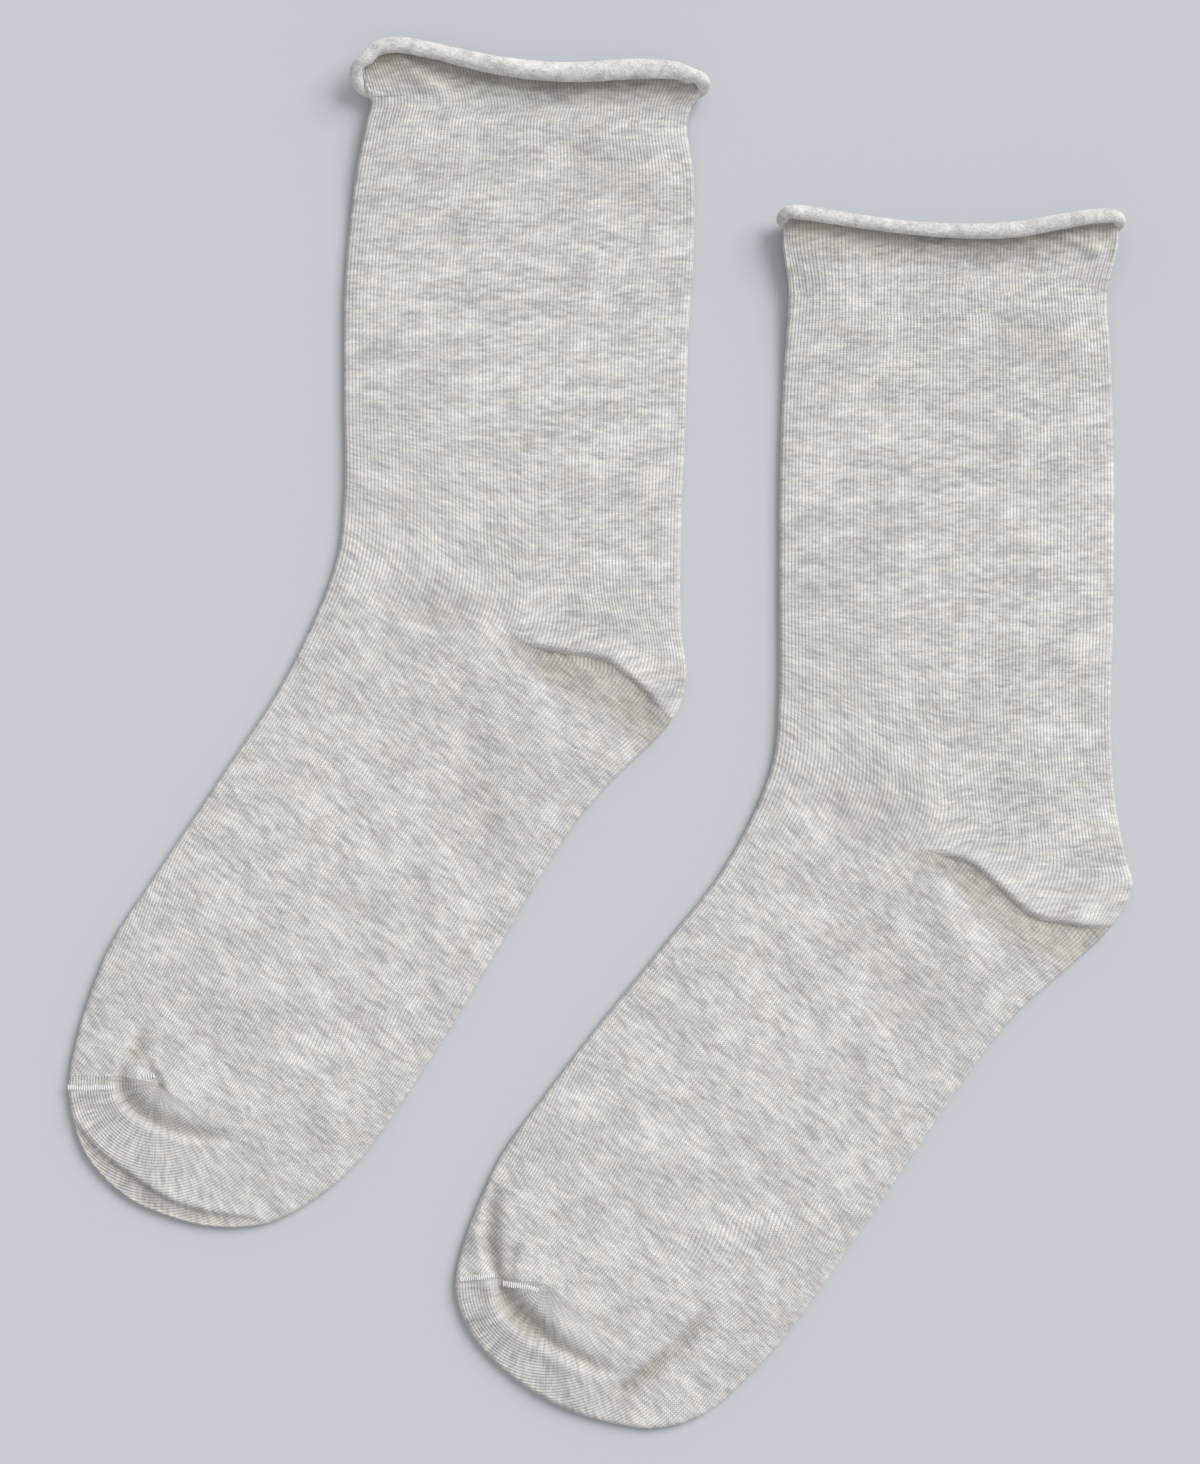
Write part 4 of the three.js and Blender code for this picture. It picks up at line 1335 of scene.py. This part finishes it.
class SOCKS_OT_rolls(bpy.types.Operator):
    """Roll the edge of each mouth"""

    bl_idname = "socks.rolls"
    bl_label = "Rolled edges"

    def execute(self, context):
        fabric, cuffs = context.scene.sock_fabric, context.scene.sock_cuffs
        for which in SIDES:
            verts, faces, uvs = cuff_roll(BUILT[which + "_plan"], cuffs.roll_turns)
            ob = mesh_object(which + "_roll", verts, faces, materials(fabric)["edge"], uvs)
            thick(ob, cuffs.wall)
            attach(ob, "root")
            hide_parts(which + "_cuff_roll")
        return {"FINISHED"}


class SOCKS_OT_seams(bpy.types.Operator):
    """Sew the white seam across each toe"""

    bl_idname = "socks.seams"
    bl_label = "Toe seams"

    def execute(self, context):
        fabric = context.scene.sock_fabric
        for which in SIDES:
            height = surface_heights(BUILT[which + "_sock"].data)
            parts = []
            for n, stretch in enumerate(SEAMS[which]):
                line = smooth_line(stretch)
                line = np.column_stack([line, height(line) + STITCH_RAISE])
                parts.append(stitch_line(which + "_stitches_" + str(n), line, fabric, 3 + n,
                                         materials(fabric)["thread"]))
            ob = joined(parts, which + "_seam")
            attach(ob, "root")
            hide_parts(which + "_toe_seam")
        return {"FINISHED"}


class SOCKS_OT_stage(bpy.types.Operator):
    """Lay the floor and set the light and the camera"""

    bl_idname = "socks.stage"
    bl_label = "Stage"

    def execute(self, context):
        stage = context.scene.sock_stage
        lay_floor(stage)
        set_light(stage)
        set_camera(stage)
        return {"FINISHED"}


class SOCKS_PT_panel(bpy.types.Panel):
    """Lists the pair's pieces"""

    bl_label = "Rolled Socks"
    bl_idname = "SOCKS_PT_panel"
    bl_space_type = "VIEW_3D"
    bl_region_type = "UI"
    bl_category = "Socks"

    def draw(self, context):
        layout = self.layout
        for operator in OPERATORS:
            layout.operator(operator.bl_idname)
        for group in (context.scene.sock_fabric, context.scene.sock_cuffs, context.scene.sock_stage):
            box = layout.box()
            for name in group.__annotations__:
                box.prop(group, name)


def give(ob, name, values):
    """Gives each point of a mesh a value that its material reads."""
    layer = ob.data.attributes.new(name, "FLOAT", "POINT")
    layer.data.foreach_set("value", np.asarray(values, np.float32))


def thick(ob, wall):
    """Gives a sheet its thickness, on its inner side."""
    solid = ob.modifiers.new("wall", "SOLIDIFY")
    solid.thickness = wall
    solid.offset = -1
    solid.use_rim = True


def joined(parts, name):
    """Several plain meshes as one object."""
    verts, faces = [], []
    for part in parts:
        base = len(verts)
        verts += [tuple(v.co) for v in part.data.vertices]
        faces += [[base + i for i in p.vertices] for p in part.data.polygons]
    material = parts[0].data.materials[0]
    for part in parts:
        bpy.data.objects.remove(part)
    return mesh_object(name, np.array(verts) / MM, faces, material)


def surface_heights(mesh):
    """A function that gives the height of the upper surface at points of the plan, in millimetres."""
    co = np.empty(len(mesh.vertices) * 3, np.float32)
    mesh.vertices.foreach_get("co", co)
    co = co.reshape(-1, 3) / MM

    def height(points):
        out = []
        for p in points:
            d = np.hypot(co[:, 0] - p[0], co[:, 1] - p[1])
            near = co[d < 1.3]
            out.append(near[:, 2].max() if len(near) else 3.0)
        out = np.array(out)
        return np.convolve(np.pad(out, 2, mode="edge"), np.ones(5) / 5, "valid")

    return height


def linked(name, data):
    """A new object for this data, linked to the scene."""
    ob = bpy.data.objects.new(name, data)
    bpy.context.scene.collection.objects.link(ob)
    return ob


def lay_floor(stage):
    """A plain pale floor."""
    far, low = FLOOR_REACH, -FLOOR_DROP
    mesh = bpy.data.meshes.new("floor")
    mesh.from_pydata([(-far, -far, low), (far, -far, low), (far, far, low), (-far, far, low)], [],
                     [(0, 1, 2, 3)])
    material, _, shader = new_material("floor")
    shader.inputs["Base Color"].default_value = rgba(stage.floor)
    shader.inputs["Roughness"].default_value = 0.95
    shader.inputs["Specular IOR Level"].default_value = 0.05
    mesh.materials.append(material)
    linked("floor", mesh)


def set_light(stage):
    """A broad soft key light from the upper right, and even light from all round."""
    lamp = bpy.data.lights.new("key", "SUN")
    lamp.energy = stage.sun
    lamp.angle = stage.softness
    key = linked("key", lamp)
    key.rotation_mode = "QUATERNION"
    key.rotation_quaternion = Vector(stage.key_from).to_track_quat("Z", "Y")
    world = bpy.data.worlds.new("sky")
    world.use_nodes = True
    background = world.node_tree.nodes["Background"]
    background.inputs[0].default_value = rgba(stage.sky_tint)
    background.inputs[1].default_value = stage.sky
    bpy.context.scene.world = world


def set_camera(stage):
    """A camera straight above, looking down."""
    lens = bpy.data.cameras.new("camera")
    lens.lens = stage.lens
    lens.sensor_width = 36
    camera = linked("camera", lens)
    camera.location = (0, 0, stage.distance)
    bpy.context.scene.camera = camera
    bpy.context.scene.view_settings.view_transform = "Standard"


SETTINGS = (("sock_fabric", FabricSettings), ("sock_cuffs", CuffSettings), ("sock_stage", StageSettings))
OPERATORS = (SOCKS_OT_bodies, SOCKS_OT_bands, SOCKS_OT_rolls, SOCKS_OT_seams, SOCKS_OT_stage)


def register():
    """Registers the settings, the operators and the panel."""
    for name, group in SETTINGS:
        bpy.utils.register_class(group)
        setattr(bpy.types.Scene, name, PointerProperty(type=group))
    for cls in OPERATORS + (SOCKS_PT_panel,):
        bpy.utils.register_class(cls)


def unregister():
    """Takes them all away again."""
    for cls in (SOCKS_PT_panel,) + OPERATORS[::-1]:
        bpy.utils.unregister_class(cls)
    for name, group in SETTINGS[::-1]:
        delattr(bpy.types.Scene, name)
        bpy.utils.unregister_class(group)


def main():
    """Builds every piece in turn."""
    register()
    bpy.ops.socks.bodies()
    bpy.ops.socks.bands()
    bpy.ops.socks.rolls()
    bpy.ops.socks.seams()
    bpy.ops.socks.stage()


if __name__ == "__main__":
    main()
